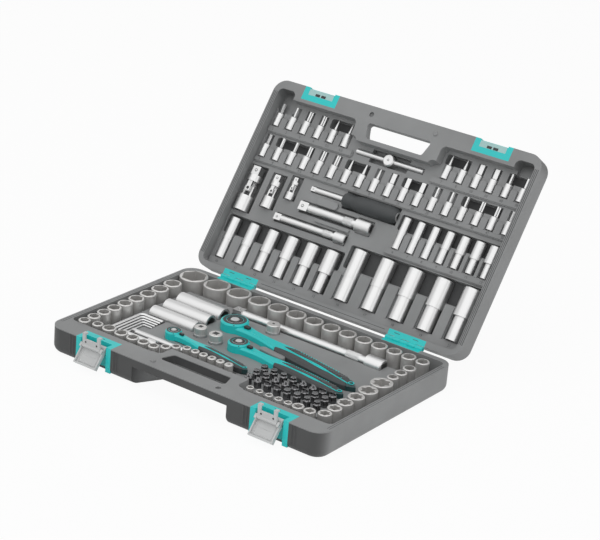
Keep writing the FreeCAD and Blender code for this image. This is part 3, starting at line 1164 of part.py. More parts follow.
for tag, side in SIDES:
    centre = side * LATCH_X
    node("latch_housing_" + tag, latch_housing("housing_" + tag, centre))
    node("latch_lever_" + tag, latch_lever("lever_" + tag, centre))
    node("latch_link_" + tag, latch_link("link_" + tag, centre))
    pin = cylinder("latch_rod_" + tag, "Sizes.latch_pin_radius", "Sizes.latch_width - 4",
                   (centre - LATCH_HALF + 2, PIVOT_Y, PIVOT_Z), ALONG_X)
    node("latch_pin_" + tag, pin)
    node("strike_plate_" + tag, strike("strike_" + tag, centre), LID_PLACE)

doc.recompute()
failed = [piece.Name for piece in doc.Objects if "Invalid" in piece.State or "Error" in piece.State]
if failed:
    raise RuntimeError("failed: " + ", ".join(failed))
for piece in nodes:
    if piece.Shape.isNull() or not piece.Shape.isValid():
        raise RuntimeError("bad shape: " + piece.Label)
for piece in nodes:
    piece.Shape.exportStep("parts/%s.step" % piece.Label)
    print("%s: %d solids, %.1f cm3" % (piece.Label, len(piece.Shape.Solids), piece.Shape.Volume / 1000))
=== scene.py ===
import bmesh
import bpy
import json
import math
from collections import namedtuple
from mathutils import Matrix, Vector


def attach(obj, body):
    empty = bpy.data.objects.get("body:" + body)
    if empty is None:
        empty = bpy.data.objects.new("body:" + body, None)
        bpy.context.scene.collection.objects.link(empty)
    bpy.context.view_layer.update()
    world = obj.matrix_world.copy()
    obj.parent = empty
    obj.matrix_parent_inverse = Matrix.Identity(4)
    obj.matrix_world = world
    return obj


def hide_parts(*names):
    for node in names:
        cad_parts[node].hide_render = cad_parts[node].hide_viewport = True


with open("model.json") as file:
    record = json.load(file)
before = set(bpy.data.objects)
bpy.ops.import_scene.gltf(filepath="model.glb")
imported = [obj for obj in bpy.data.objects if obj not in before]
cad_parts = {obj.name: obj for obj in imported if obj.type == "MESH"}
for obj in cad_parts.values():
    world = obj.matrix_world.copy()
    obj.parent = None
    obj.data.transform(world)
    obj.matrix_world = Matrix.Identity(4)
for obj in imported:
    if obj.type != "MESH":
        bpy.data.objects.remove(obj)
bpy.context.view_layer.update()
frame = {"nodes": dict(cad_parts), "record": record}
nodes = frame["nodes"]

MM = 0.001


def mm(*values):
    """A vector given in millimetres."""
    return Vector(values) * MM


# The photograph's view, as a pinhole camera in metres.
CAMERA_PLACE = Vector((1.4888, -2.0263, 1.1816))
CAMERA_AZIMUTH = math.radians(35.024)
CAMERA_ELEVATION = math.radians(22.344)
CAMERA_ROLL = math.radians(4.818)
FOCAL_PIXELS = 2092.7
PICTURE_WIDTH = 600
SENSOR_WIDTH = 36.0
FAR_CLIP = 30


def show(name, data):
    """A new object in the scene."""
    made = bpy.data.objects.new(name, data)
    bpy.context.scene.collection.objects.link(made)
    return made


def add_camera():
    """The camera looks along the calibrated direction, with the photograph's slight roll."""
    a, e, r = CAMERA_AZIMUTH, CAMERA_ELEVATION, CAMERA_ROLL
    back = Vector((math.sin(a) * math.cos(e), -math.cos(a) * math.cos(e), math.sin(e)))
    right = Vector((math.cos(a), math.sin(a), 0))
    up = back.cross(right)
    right, up = right * math.cos(r) + up * math.sin(r), up * math.cos(r) - right * math.sin(r)
    data = bpy.data.cameras.new("photo_camera")
    data.sensor_width = SENSOR_WIDTH
    data.lens = FOCAL_PIXELS * SENSOR_WIDTH / PICTURE_WIDTH
    data.clip_end = FAR_CLIP
    camera = show("photo_camera", data)
    turn = Matrix((right, up, back)).transposed()
    camera.matrix_world = Matrix.Translation(CAMERA_PLACE) @ turn.to_4x4()
    bpy.context.scene.camera = camera


def wire(tree, source, socket, target, name):
    """Links an output of one node to an input of another."""
    tree.links.new(source.outputs[socket], target.inputs[name])


def add_node(tree, kind, inputs=None, **settings):
    """A new node; each input takes a value, or another node and the name of its output."""
    made = tree.nodes.new(kind)
    for name, value in settings.items():
        setattr(made, name, value)
    for socket, value in (inputs or {}).items():
        if isinstance(value, tuple) and isinstance(value[0], bpy.types.Node):
            wire(tree, *value, made, socket)
        else:
            made.inputs[socket].default_value = value
    return made


def maths(tree, operation, first, second):
    """The result of an operation on two outputs or values."""
    return add_node(tree, "ShaderNodeMath", {0: first, 1: second}, operation=operation), "Value"


def group_with(name, inputs, outputs):
    """A shader node group with named float inputs and outputs."""
    group = bpy.data.node_groups.new(name, "ShaderNodeTree")
    for socket in inputs:
        group.interface.new_socket(socket, in_out="INPUT", socket_type="NodeSocketFloat")
    for socket in outputs:
        group.interface.new_socket(socket, in_out="OUTPUT", socket_type="NodeSocketFloat")
    return group, add_node(group, "NodeGroupInput"), add_node(group, "NodeGroupOutput")


GRAIN_DETAIL, DRIFT_DETAIL = 3, 2
PATCH_DETAIL, PATCH_ROUGHNESS = 5, 0.65
# Where the edge of a scuff begins and ends in its noise.
SCUFF_FROM, SCUFF_TO = 0.5, 0.72


def moulded_grain():
    """Fine spark-eroded moulding grain as a height, with a slow drift for tone and gloss."""
    group, enter, leave = group_with("moulded_grain", ("Grain Scale", "Drift Scale"),
                                     ("Height", "Drift"))
    place = add_node(group, "ShaderNodeTexCoord")
    for scale, detail, result in (("Grain Scale", GRAIN_DETAIL, "Height"),
                                  ("Drift Scale", DRIFT_DETAIL, "Drift")):
        noise = add_node(group, "ShaderNodeTexNoise", {
            "Vector": (place, "Object"), "Scale": (enter, scale), "Detail": detail})
        wire(group, noise, "Fac", leave, result)
    return group


def handling_marks():
    """Faint scuffs and finger marks: a broken mask that dulls a finish in patches."""
    group, enter, leave = group_with("handling_marks", ("Patch Scale", "Amount"), ("Mask",))
    place = add_node(group, "ShaderNodeTexCoord")
    patch = add_node(group, "ShaderNodeTexNoise", {
        "Vector": (place, "Object"), "Scale": (enter, "Patch Scale"), "Detail": PATCH_DETAIL,
        "Roughness": PATCH_ROUGHNESS})
    edge = add_node(group, "ShaderNodeMapRange", {
        "Value": (patch, "Fac"), "From Min": SCUFF_FROM, "From Max": SCUFF_TO})
    wire(group, *maths(group, "MULTIPLY", (edge, "Result"), (enter, "Amount")), leave, "Mask")
    return group


def reach(group, enter, name, axes):
    """How far a place lies along a direction, whose parts are inputs of the group."""
    place = add_node(group, "ShaderNodeTexCoord")
    parts = add_node(group, "ShaderNodeSeparateXYZ", {"Vector": (place, "Object")})
    shares = [maths(group, "MULTIPLY", (parts, axis), (enter, "%s %s" % (name, axis)))
              for axis in axes]
    return maths(group, "ADD", *shares)


# Inputs of the mask of painted shade on the outer walls.
WALL_SHADE_INPUTS = ("Out Y", "Out Z", "Wall", "Fade", "Deep Y", "Deep Z", "Rim")


def outer_wall():
    """Where painted shade darkens an outer front wall, as a mask that fades round the corners."""
    group, enter, leave = group_with("outer_wall", WALL_SHADE_INPUTS, ("Mask",))
    near = add_node(group, "ShaderNodeMapRange", {
        "Value": reach(group, enter, "Out", "YZ"), "From Min": (enter, "Fade"),
        "From Max": (enter, "Wall")}, interpolation_type="SMOOTHSTEP")
    below = maths(group, "LESS_THAN", reach(group, enter, "Deep", "YZ"), (enter, "Rim"))
    wire(group, *maths(group, "MULTIPLY", (near, "Result"), below), leave, "Mask")
    return group


TAIL_INPUTS = ("Along X", "Along Y", "Start", "End")


def handle_tail():
    """Where the rubber end of a handle begins, as a mask along the handle."""
    group, enter, leave = group_with("handle_tail", TAIL_INPUTS, ("Mask",))
    edge = add_node(group, "ShaderNodeMapRange", {
        "Value": reach(group, enter, "Along", "XY"), "From Min": (enter, "Start"),
        "From Max": (enter, "End")})
    wire(group, edge, "Result", leave, "Mask")
    return group


GRAIN = moulded_grain()
MARKS = handling_marks()
# Where painted shade darkens the outer walls of the case.
WALL_SHADE = outer_wall()
TAILS = handle_tail()
# The part of a slow noise that is spread over a range, and how far gloss drifts with it.
NOISE_FROM, NOISE_TO = 0.3, 0.7
GLOSS_DRIFT = 0.12
BUMP_DEPTH = 0.2 * MM
# The colour sockets of a mix node.
MIX_ONE, MIX_TWO, MIXED = 6, 7, 2


def spread(tree, effect, low, high):
    """The slow drift of a finish, mapped onto a range of values."""
    return add_node(tree, "ShaderNodeMapRange", {
        "Value": (effect, "Drift"), "From Min": NOISE_FROM, "From Max": NOISE_TO, "To Min": low,
        "To Max": high}), "Result"


def finish(name, colour, rough, metal=0.0, grain=1800.0, drift=14.0, bump=0.1, tone=0.1,
           marks=0.1, patch=45.0, specular=0.5, zone=None):
    """A finish with grain, drifting tone and gloss, handling marks, and a zone multiplied darker:
    painted shade on the case walls, dark rubber on a handle's end.
    """
    made = bpy.data.materials.new(name)
    made.use_nodes = True
    tree = made.node_tree
    shader = tree.nodes["Principled BSDF"]
    shader.inputs["Metallic"].default_value = metal
    shader.inputs["Specular IOR Level"].default_value = specular
    effect = add_node(tree, "ShaderNodeGroup", node_tree=GRAIN,
                      inputs={"Grain Scale": grain, "Drift Scale": drift})
    wear = add_node(tree, "ShaderNodeGroup", node_tree=MARKS,
                    inputs={"Patch Scale": patch, "Amount": marks})
    darker = (*[c * (1 - tone) for c in colour], 1)
    paler = (*[min(1, c * (1 + tone)) for c in colour], 1)
    mix = add_node(tree, "ShaderNodeMix", data_type="RGBA", inputs={
        "Factor": spread(tree, effect, 0, 1), MIX_ONE: darker, MIX_TWO: paler})
    colour_and_shade = mix
    # A zone's colour is multiplied in: painted shade on the case walls, the real dark rubber on a
    # handle's end.
    if zone:
        mask_group, sockets, values, zone_darkening = zone
        mask = add_node(tree, "ShaderNodeGroup", node_tree=mask_group,
                        inputs=dict(zip(sockets, values)))
        colour_and_shade = add_node(tree, "ShaderNodeMix", data_type="RGBA", blend_type="MULTIPLY", inputs={
            "Factor": (mask, "Mask"), MIX_ONE: (mix, MIXED), MIX_TWO: (*zone_darkening, 1)})
    wire(tree, colour_and_shade, MIXED, shader, "Base Color")
    gloss = spread(tree, effect, rough * (1 - GLOSS_DRIFT), rough * (1 + GLOSS_DRIFT))
    wire(tree, *maths(tree, "ADD", gloss, (wear, "Mask")), shader, "Roughness")
    height = add_node(tree, "ShaderNodeBump", {
        "Height": (effect, "Height"), "Strength": bump, "Distance": BUMP_DEPTH})
    wire(tree, height, "Normal", shader, "Normal")
    return made


# Outer walls, darkened by painted shade: direction outwards, where the wall lies and where the
# shade fades, direction of the rim and its level. The shade multiplies the grey of the case.
WALL_SHADE_TONE = (0.28, 0.28, 0.28)
BASE_WALL_SHADE = (-1, 0, 0.147, 0.122, 0, 1, 0.0366)
LID_TILT = math.radians(54.76)
LID_OUT = (math.cos(LID_TILT), math.sin(LID_TILT))
LID_WALL_SHADE = (*LID_OUT, 0.418, 0.393, -LID_OUT[1], LID_OUT[0], -0.1035)
CASE_LOOK = dict(colour=(0.3, 0.305, 0.307), rough=0.5, bump=0.3, specular=0.3)
METAL = dict(bump=0.004, drift=30, patch=90, tone=0.02, marks=0.03)
TEAL = (0.016, 0.66, 0.65)
RATCHET_LOOK = dict(colour=TEAL, rough=0.32, bump=0.05, tone=0.05)
FINISHES = {
    # The case grey, with painted shade on the outer front wall of the base.
    "case_plastic": finish("moulded_grey_and_wall_shade", zone=(WALL_SHADE, WALL_SHADE_INPUTS, BASE_WALL_SHADE, WALL_SHADE_TONE),
                           **CASE_LOOK),
    "teal_plastic": finish("teal_gloss", TEAL, 0.34, bump=0.05, tone=0.05),
    "latch_plastic": finish("pale_latch", (0.62, 0.63, 0.63), 0.4, bump=0.08, tone=0.05),
    "pin_steel": finish("drawn_pin", (0.5, 0.5, 0.51), 0.3, metal=1.0, **METAL),
    "satin_nickel": finish("satin_nickel", (0.6, 0.592, 0.58), 0.42, metal=0.62, **METAL),
    "satin_chrome": finish("satin_chrome", (0.58, 0.58, 0.58), 0.32, metal=0.94, **METAL),
    "dark_steel": finish("dark_steel", (0.2, 0.2, 0.205), 0.22, metal=1.0, bump=0.02, drift=80),
    "handle_rubber": finish("grip_rubber", (0.05, 0.054, 0.056), 0.55, bump=0.2, grain=1200),
    "ratchet_teal": finish("ratchet_teal", **RATCHET_LOOK),
    # Near-black plastic of the levers; the same finish paints the shade in holes, slots and round
    # detent balls.
    "dark_plastic": finish("dark_lever_and_hole_shade", (0.016, 0.017, 0.018), 0.42, bump=0.1),
    "button_white": finish("pale_button", (0.7, 0.71, 0.71), 0.3, bump=0.04, tone=0.05),
}
RIB_FINISH = finish("grip_rib_grey", (0.13, 0.135, 0.137), 0.5, bump=0.2)
# Near-black strips that paint the shade in narrow grooves and gaps of the case.
GROOVE_SHADE = finish("painted_groove_shade", (0.07, 0.072, 0.073), 0.6, bump=0.2)
# Near-black sheets that paint the shade in the deep hollows of the lid and inside the grip opening.
POCKET_SHADE = finish("deep_pocket_shade", (0.055, 0.056, 0.057), 0.7, bump=0.2)
# The lid's grey, with painted shade on its outer wall.
LID_GREY_AND_SHADE = finish("moulded_lid_grey_and_wall_shade", zone=(WALL_SHADE, WALL_SHADE_INPUTS, LID_WALL_SHADE, WALL_SHADE_TONE),
                    **CASE_LOOK)
KEY_FINISH = finish("bright_key_steel", (0.62, 0.62, 0.62), 0.28, metal=0.9, **METAL)


# Centre and angle, radius, thickness and top of the head, length, half width of the handle's tail
# and its thickness.
Ratchet = namedtuple("Ratchet", "x y angle head thick top length tail handle")
RATCHETS = {
    "half": Ratchet(-62, 44, -10.5, 19.5, 22, 39, 236, 14, 15),
    "eighth": Ratchet(-16, -5.4, -6.6, 15, 18, 38, 188, 11.5, 12.5),
    "quarter": Ratchet(-100, -39, -8.1, 11.5, 14, 37, 143, 8.5, 10),
}
# The rubber end of a handle: its tone, where it begins as a share of the length, and its edge.
TAIL_TONE = (1, 0.08, 0.085)
TAIL_START, TAIL_FADE = 0.935, 0.3


def tail_finish(name):
    """The teal of one ratchet, turning into dark rubber at the end of its handle."""
    tool = RATCHETS[name]
    across, along = math.sin(math.radians(tool.angle)), math.cos(math.radians(tool.angle))
    start = tool.x * along + tool.y * across + TAIL_START * tool.length
    zone = (TAILS, TAIL_INPUTS, (along, across, start * MM, (start + TAIL_FADE) * MM), TAIL_TONE)
    return finish("ratchet_teal_" + name, zone=zone, **RATCHET_LOOK)


SPECIAL = {"hex_keys": KEY_FINISH, "case_lid": LID_GREY_AND_SHADE}
SPECIAL.update(("ratchet_body_" + name, tail_finish(name)) for name in RATCHETS)


def finish_nodes():
    """Every solid of the frame takes the finish of its slot, apart from the special ones."""
    for part in frame["record"]["subparts"]:
        mesh = nodes[part["node"]].data
        mesh.materials.clear()
        mesh.materials.append(SPECIAL.get(part["node"], FINISHES[part["material_slot"]]))


# Places on the lid: x along the hinge, v up from the hinge edge, then towards the inside, in
# millimetres.
HINGE_Y, HINGE_Z, HINGE_OFFSET = 152.0, 38.25, 4.0
LID_TRAY = -17.0
RIM, TRAY = 38.0, 26.0
LID_FRAME = (Matrix.Translation((0, HINGE_Y * MM, HINGE_Z * MM))
             @ Matrix.Rotation(LID_TILT, 4, "X")
             @ Matrix.Translation((0, HINGE_OFFSET * MM, 0)))
BASE_FRAME = Matrix.Identity(4)


def add_piece(name, mesh, body, slot, material=None):
    """A finished mesh becomes a piece that rides on its body."""
    mesh.materials.clear()
    mesh.materials.append(material or FINISHES[slot])
    made = show(name, mesh)
    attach(made, body)
    return made


def tree_for(name, sockets):
    """An empty geometry tree with named inputs and one geometry output."""
    tree = bpy.data.node_groups.new(name, "GeometryNodeTree")
    tree.interface.new_socket("Geometry", in_out="INPUT", socket_type="NodeSocketGeometry")
    for socket, kind in sockets:
        tree.interface.new_socket(socket, in_out="INPUT", socket_type=kind)
    tree.interface.new_socket("Geometry", in_out="OUTPUT", socket_type="NodeSocketGeometry")
    return tree, add_node(tree, "NodeGroupInput"), add_node(tree, "NodeGroupOutput")


def close_tree(tree, geometry, leave):
    """Every tree ends in real geometry with its material."""
    real = add_node(tree, "GeometryNodeRealizeInstances", {"Geometry": geometry})
    paint = add_node(tree, "GeometryNodeSetMaterial", {"Geometry": (real, "Geometry")})
    wire(tree, paint, "Geometry", leave, "Geometry")
    tree["paint"] = paint.name


def plain_mesh(made, place):
    """What an object shows, as a plain mesh set in place; the object itself is taken away."""
    seen = made.evaluated_get(bpy.context.evaluated_depsgraph_get())
    mesh = bpy.data.meshes.new_from_object(seen)
    bpy.data.objects.remove(made)
    mesh.transform(place)
    return mesh


def grow(tree, values, material, place):
    """Runs a tree with its inputs and gives back a plain mesh set in place."""
    tree.nodes[tree["paint"]].inputs["Material"].default_value = material
    seed = show("seed", bpy.data.meshes.new("seed"))
    modifier = seed.modifiers.new("grow", "NODES")
    modifier.node_group = tree
    for item in tree.interface.items_tree:
        if item.item_type == "SOCKET" and item.in_out == "INPUT" and item.name in values:
            modifier[item.identifier] = values[item.name]
    return plain_mesh(seed, place)


def as_mesh(shape, name, place=BASE_FRAME):
    """A shape under construction becomes a plain mesh set in place."""
    mesh = bpy.data.meshes.new(name)
    shape.to_mesh(mesh)
    shape.free()
    mesh.transform(place)
    return mesh


def add_set(name, meshes, body, slot, material=None):
    """Several plain meshes become one piece."""
    joined = bmesh.new()
    for mesh in meshes:
        joined.from_mesh(mesh)
    return add_piece(name, as_mesh(joined, name), body, slot, material)


BEAD_SIDES, RIB_SIDES = 12, 10
WHOLE, PLACE, NUMBER = "NodeSocketInt", "NodeSocketVector", "NodeSocketFloat"


def sweep_ring(tree, enter, path, sides):
    """A round section of the tree's radius swept along a path, with closed ends."""
    ring = add_node(tree, "GeometryNodeCurvePrimitiveCircle", {
        "Resolution": sides, "Radius": (enter, "Radius")})
    return add_node(tree, "GeometryNodeCurveToMesh", {
        "Curve": (path, "Curve"), "Profile Curve": (ring, "Curve"), "Fill Caps": True}), "Mesh"


def bead_tree():
    """A round bead from one point to another, with closed ends."""
    tree, enter, leave = tree_for("round_bead", (("Start", PLACE), ("End", PLACE),
                                                 ("Radius", NUMBER)))
    path = add_node(tree, "GeometryNodeCurvePrimitiveLine", {
        "Start": (enter, "Start"), "End": (enter, "End")})
    close_tree(tree, sweep_ring(tree, enter, path, BEAD_SIDES), leave)
    return tree


def row_tree():
    """Rounded ribs in a row: a count, a first place, a step, and a rib's own span and radius."""
    tree, enter, leave = tree_for("rib_row", (("Count", WHOLE), ("First", PLACE), ("Step", PLACE),
                                              ("Span", PLACE), ("Radius", NUMBER)))
    points = add_node(tree, "GeometryNodeMeshLine", {
        "Count": (enter, "Count"), "Start Location": (enter, "First"), "Offset": (enter, "Step")})
    path = add_node(tree, "GeometryNodeCurvePrimitiveLine")
    for share, end in ((-0.5, "Start"), (0.5, "End")):
        half = add_node(tree, "ShaderNodeVectorMath", operation="SCALE", inputs={
            0: (enter, "Span"), "Scale": share})
        wire(tree, half, "Vector", path, end)
    place = add_node(tree, "GeometryNodeInstanceOnPoints", {
        "Points": (points, "Mesh"), "Instance": sweep_ring(tree, enter, path, RIB_SIDES)})
    close_tree(tree, (place, "Instances"), leave)
    return tree


def knurl_tree():
    """A knurled band round X: rings of small four-sided points, each turned half a pitch on."""
    tree, enter, leave = tree_for("knurl_band", (("Rings", WHOLE), ("Points", WHOLE),
                                                 ("Radius", NUMBER), ("Pitch", NUMBER),
                                                 ("Height", NUMBER)))
    step = add_node(tree, "ShaderNodeCombineXYZ", {"X": (enter, "Pitch")})
    spine = add_node(tree, "GeometryNodeMeshLine", {
        "Count": (enter, "Rings"), "Offset": (step, "Vector")})
    circle = add_node(tree, "GeometryNodeMeshCircle", {
        "Vertices": (enter, "Points"), "Radius": (enter, "Radius")})
    upright = add_node(tree, "GeometryNodeTransform", {
        "Geometry": (circle, "Mesh"), "Rotation": (0, math.pi / 2, 0)})
    index = add_node(tree, "GeometryNodeInputIndex")
    half = maths(tree, "DIVIDE", math.pi, (enter, "Points"))
    turn = maths(tree, "MULTIPLY", (index, "Index"), half)
    spin = add_node(tree, "ShaderNodeCombineXYZ", {"X": turn})
    rings = add_node(tree, "GeometryNodeInstanceOnPoints", {
        "Points": (spine, "Mesh"), "Instance": (upright, "Geometry"), "Rotation": (spin, "Vector")})
    real = add_node(tree, "GeometryNodeRealizeInstances", {"Geometry": (rings, "Instances")})
    point = add_node(tree, "GeometryNodeMeshCone", {
        "Vertices": 4, "Radius Top": 0, "Radius Bottom": (enter, "Pitch"),
        "Depth": (enter, "Height")})
    where = add_node(tree, "GeometryNodeInputPosition")
    outward = add_node(tree, "ShaderNodeVectorMath", operation="MULTIPLY", inputs={
        0: (where, "Position"), 1: (0, 1, 1)})
    aim = add_node(tree, "FunctionNodeAlignRotationToVector", {"Vector": (outward, "Vector")},
                   axis="Z")
    scatter = add_node(tree, "GeometryNodeInstanceOnPoints", {
        "Points": (real, "Geometry"), "Instance": (point, "Mesh"), "Rotation": (aim, "Rotation")})
    close_tree(tree, (scatter, "Instances"), leave)
    return tree


BEAD = bead_tree()
ROW = row_tree()
KNURL = knurl_tree()


def bead(start, end, radius, material, place=BASE_FRAME):
    """One round bead."""
    return grow(BEAD, {"Start": mm(*start), "End": mm(*end), "Radius": radius * MM}, material,
                place)


def ribs(count, first, step, span, radius, material, place=BASE_FRAME):
    """A row of rounded ribs."""
    return grow(ROW, {"Count": count, "First": mm(*first), "Step": mm(*step), "Span": mm(*span),
                      "Radius": radius * MM}, material, place)


def knurl(rings, points, radius, pitch, height, material, place):
    """One knurled band."""
    return grow(KNURL, {"Rings": rings, "Points": points, "Radius": radius * MM,
                        "Pitch": pitch * MM, "Height": height * MM}, material, place)


WELD = 1e-7


def turned(profile, place, steps=28):
    """A turned mesh from a closed profile of radius and height, in millimetres."""
    shape = bmesh.new()
    rings = []
    for number in range(steps):
        angle = 2 * math.pi * number / steps
        rings.append([shape.verts.new(mm(r * math.cos(angle), r * math.sin(angle), z))
                      for r, z in profile])
    for number in range(steps):
        one, two = rings[number], rings[(number + 1) % steps]
        for corner in range(len(profile)):
            ahead = (corner + 1) % len(profile)
            shape.faces.new((one[corner], two[corner], two[ahead], one[ahead]))
    bmesh.ops.remove_doubles(shape, verts=shape.verts, dist=WELD)
    bmesh.ops.dissolve_degenerate(shape, edges=shape.edges, dist=WELD)
    bmesh.ops.recalc_face_normals(shape, faces=shape.faces)
    return as_mesh(shape, "turned", place)


def washer(inner, outer, thick, place, ease=0.2):
    """A flat ring with eased edges."""
    return turned([(inner, 0), (outer, 0), (outer, thick - ease), (outer - ease, thick),
                   (inner + ease, thick), (inner, thick - ease)], place)


# The dome of a stud, as shares of its radius and its rise.
DOME, STUD_STEPS = ((1, 0.25), (0.72, 0.8), (0, 1)), 20


def stud(radius, rise, place, sink):
    """A low domed stud standing on a surface."""
    dome = [(out * radius, up * rise) for out, up in DOME]
    return turned([(0, -sink), (radius, -sink), *dome], place, STUD_STEPS)


# A plate's edges are eased by no more than this share of its thickness.
MOST_EASE = 0.45


def plate(length, width, thick, place, ease=0.3):
    """A thin eased plate lying on its own plane, centred."""
    shape = bmesh.new()
    bmesh.ops.create_cube(shape, size=1)
    bmesh.ops.scale(shape, vec=mm(length, width, thick), verts=shape.verts)
    bmesh.ops.bevel(shape, geom=shape.edges[:], offset=min(ease, MOST_EASE * thick) * MM,
                    segments=2, affect="EDGES")
    return as_mesh(shape, "plate", place)


NUMERAL_RISE = 0.15


def lettered(text, height, place):
    """A raised size numeral as a mesh."""
    curve = bpy.data.curves.new("numeral", "FONT")
    curve.body = text
    curve.size = height * MM
    curve.extrude = NUMERAL_RISE * MM
    curve.align_x = "CENTER"
    curve.align_y = "CENTER"
    return plain_mesh(show("numeral", curve), place)


def at(x, y, z, frame_place=BASE_FRAME):
    """A place in millimetres, in the frame of the base or in another one."""
    return frame_place @ Matrix.Translation(mm(x, y, z))


INLAY_THICK, INLAY_EASE = 0.3, 0.1


def inlay(length, width, place):
    """A thin plate that paints the shade of a groove, a gap, a hole or a hollow."""
    return plate(length, width, INLAY_THICK, place, INLAY_EASE)


CASE = FINISHES["case_plastic"]
LATCH_X, HINGE_X = 145.0, 142.0
SIDES = (("left", -1), ("right", 1))
FACING_FRONT = Matrix.Rotation(math.radians(90), 4, "X")
FACING_RIGHT = Matrix.Rotation(math.radians(90), 4, "Y")
HALF_WIDTH, HALF_DEPTH = 225.0, 148.0
# Rims: body, frame, level, middle, size of a groove, and how far grooves and beads lie in from the
# sides of the case.
RIMS = (("lid", LID_FRAME, 0, HALF_DEPTH, (1.2, 258), (2.6, 5.0, 7.4), (3.8, 6.2)),
        ("base", BASE_FRAME, RIM, 0, (1.0, 256), (3.4, 6.6), (5.0,)))
HINGE_GROOVE_SIZE, HINGE_GROOVE_V, GROOVE_SINK = (212, 0.9), 4.4, 0.1
BEAD_RADIUS, BEAD_SINK, BEAD_HALF = 0.95, 0.87, 128


def rim_groove_shading():
    """Fine sealing grooves along the rims of both halves, drawn as dark strips of painted shade,
    with a bead beside each.
    """
    grooves, beads = {}, {}
    for body, lay, level, middle, size, groove_insets, bead_insets in RIMS:
        grooves[body], beads[body] = [], []
        for tag, side in SIDES:
            for inset in groove_insets:
                place = at(side * (HALF_WIDTH - inset), middle, level - GROOVE_SINK, lay)
                grooves[body].append(inlay(*size, place))
            for inset in bead_insets:
                ends = [(side * (HALF_WIDTH - inset), middle + half, level - BEAD_SINK)
                        for half in (-BEAD_HALF, BEAD_HALF)]
                beads[body].append(bead(*ends, BEAD_RADIUS, CASE, lay))
    hinge_groove = inlay(*HINGE_GROOVE_SIZE, at(0, HINGE_GROOVE_V, -GROOVE_SINK, LID_FRAME))
    grooves["lid"].append(hinge_groove)
    for body, made in grooves.items():
        add_set(body + "_rim_groove_shading", made, body, "case_plastic", GROOVE_SHADE)
    for body, made in beads.items():
        add_set(body + "_rim_beads", made, body, "case_plastic")


WALL_RIBS = (-40, -35, 35, 40)


def front_ribs():
    """Upright ribs on the front wall beside each latch, with a dark strip of painted shade in the
    gap beside each.
    """
    made, gaps = [], []
    for tag, side in SIDES:
        for offset in WALL_RIBS:
            x = side * LATCH_X + offset
            made.append(ribs(count=1, first=(x, -HALF_DEPTH + 0.7, 23), step=(0, 0, 0),
                             span=(0, 0, 25), radius=1.6, material=CASE))
            place = at(x + 2.4, -HALF_DEPTH, 21) @ FACING_FRONT
            gaps.append(inlay(length=1.2, width=25, place=place))
    add_set("front_wall_ribs", made, "base", "case_plastic")
    add_set("front_wall_gap_shade", gaps, "base", "case_plastic", GROOVE_SHADE)


def skin(shape, rings):
    """Faces between rings of points, and over both ends."""
    for one, two in zip(rings, rings[1:]):
        for n in range(len(one)):
            ahead = (n + 1) % len(one)
            shape.faces.new((one[n], one[ahead], two[ahead], two[n]))
    shape.faces.new(rings[-1])
    shape.faces.new(list(reversed(rings[0])))


CORNER_SIGNS, CORNER_STEPS = ((1, 1), (-1, 1), (-1, -1), (1, -1)), 5


def pad(length, width, low, high, corner, place, ease=0.8):
    """A raised pad with rounded corners and a softly eased top."""
    shape = bmesh.new()
    rings = []
    for z, inset in ((low, 0), (high - ease, 0), (high - 0.3 * ease, 0.3 * ease), (high, ease)):
        ring = []
        r = corner - inset
        for quarter, (sx, sy) in enumerate(CORNER_SIGNS):
            for step in range(CORNER_STEPS + 1):
                angle = math.radians(90) * (quarter + step / CORNER_STEPS)
                ring.append(shape.verts.new(mm(sx * (length / 2 - corner) + r * math.cos(angle),
                                               sy * (width / 2 - corner) + r * math.sin(angle),
                                               z)))
        rings.append(ring)
    skin(shape, rings)
    bmesh.ops.recalc_face_normals(shape, faces=shape.faces)
    return as_mesh(shape, "pad", place)


# Ledges of the lid tray, where the drive ends of a row stop: from x, to x, foot and top above
# the hinge edge.
LEDGES = ((-215.5, 215.5, 9.5, 21.3), (46, 215.5, 104.5, 114.8), (-215.5, 215.5, 172.2, 180.3),
          (-215.5, -66, 219, 229.3), (66, 215.5, 219, 229.3))
LEDGE_RISE, LEDGE_SINK, LEDGE_EASE = 3.6, 1, 1.4


def lid_ledges():
    """Low ledges across the lid tray, with softly rounded edges."""
    level = LID_TRAY + (LEDGE_RISE - LEDGE_SINK) / 2
    made = [plate(x_to - x_from, v_to - v_from, LEDGE_RISE + LEDGE_SINK,
                  at((x_from + x_to) / 2, (v_from + v_to) / 2, level, LID_FRAME), LEDGE_EASE)
            for x_from, x_to, v_from, v_to in LEDGES]
    add_set("lid_ledges", made, "lid", "case_plastic")


# Pads between lying tools: count, first x, pitch, width, width lost per pad, foot and top above
# the hinge edge.
PAD_ROWS = ((17, -194.4, 24.3, 10.4, 0, 178, 196), (5, -194.4, 24.3, 10.4, 0, 227, 244),
            (5, 97.2, 24.3, 10.4, 0, 227, 244), (6, 72.15, 23.9, 10.0, 0.95, 112, 139),
            (5, -182.7, 34.6, 14.6, 1.1, 19, 58), (1, -6.7, 0, 14, 0, 19, 58),
            (4, 37.3, 46, 19, 1.3, 19, 66))
# Loose pads: centre, length and width.
LOOSE_PADS = ((-69, 145, 36, 11), (-48, 117.6, 60, 5))
PAD_SINK, PAD_CORNER, LOOSE_CORNER_SHARE = 1, 2.4, 0.45


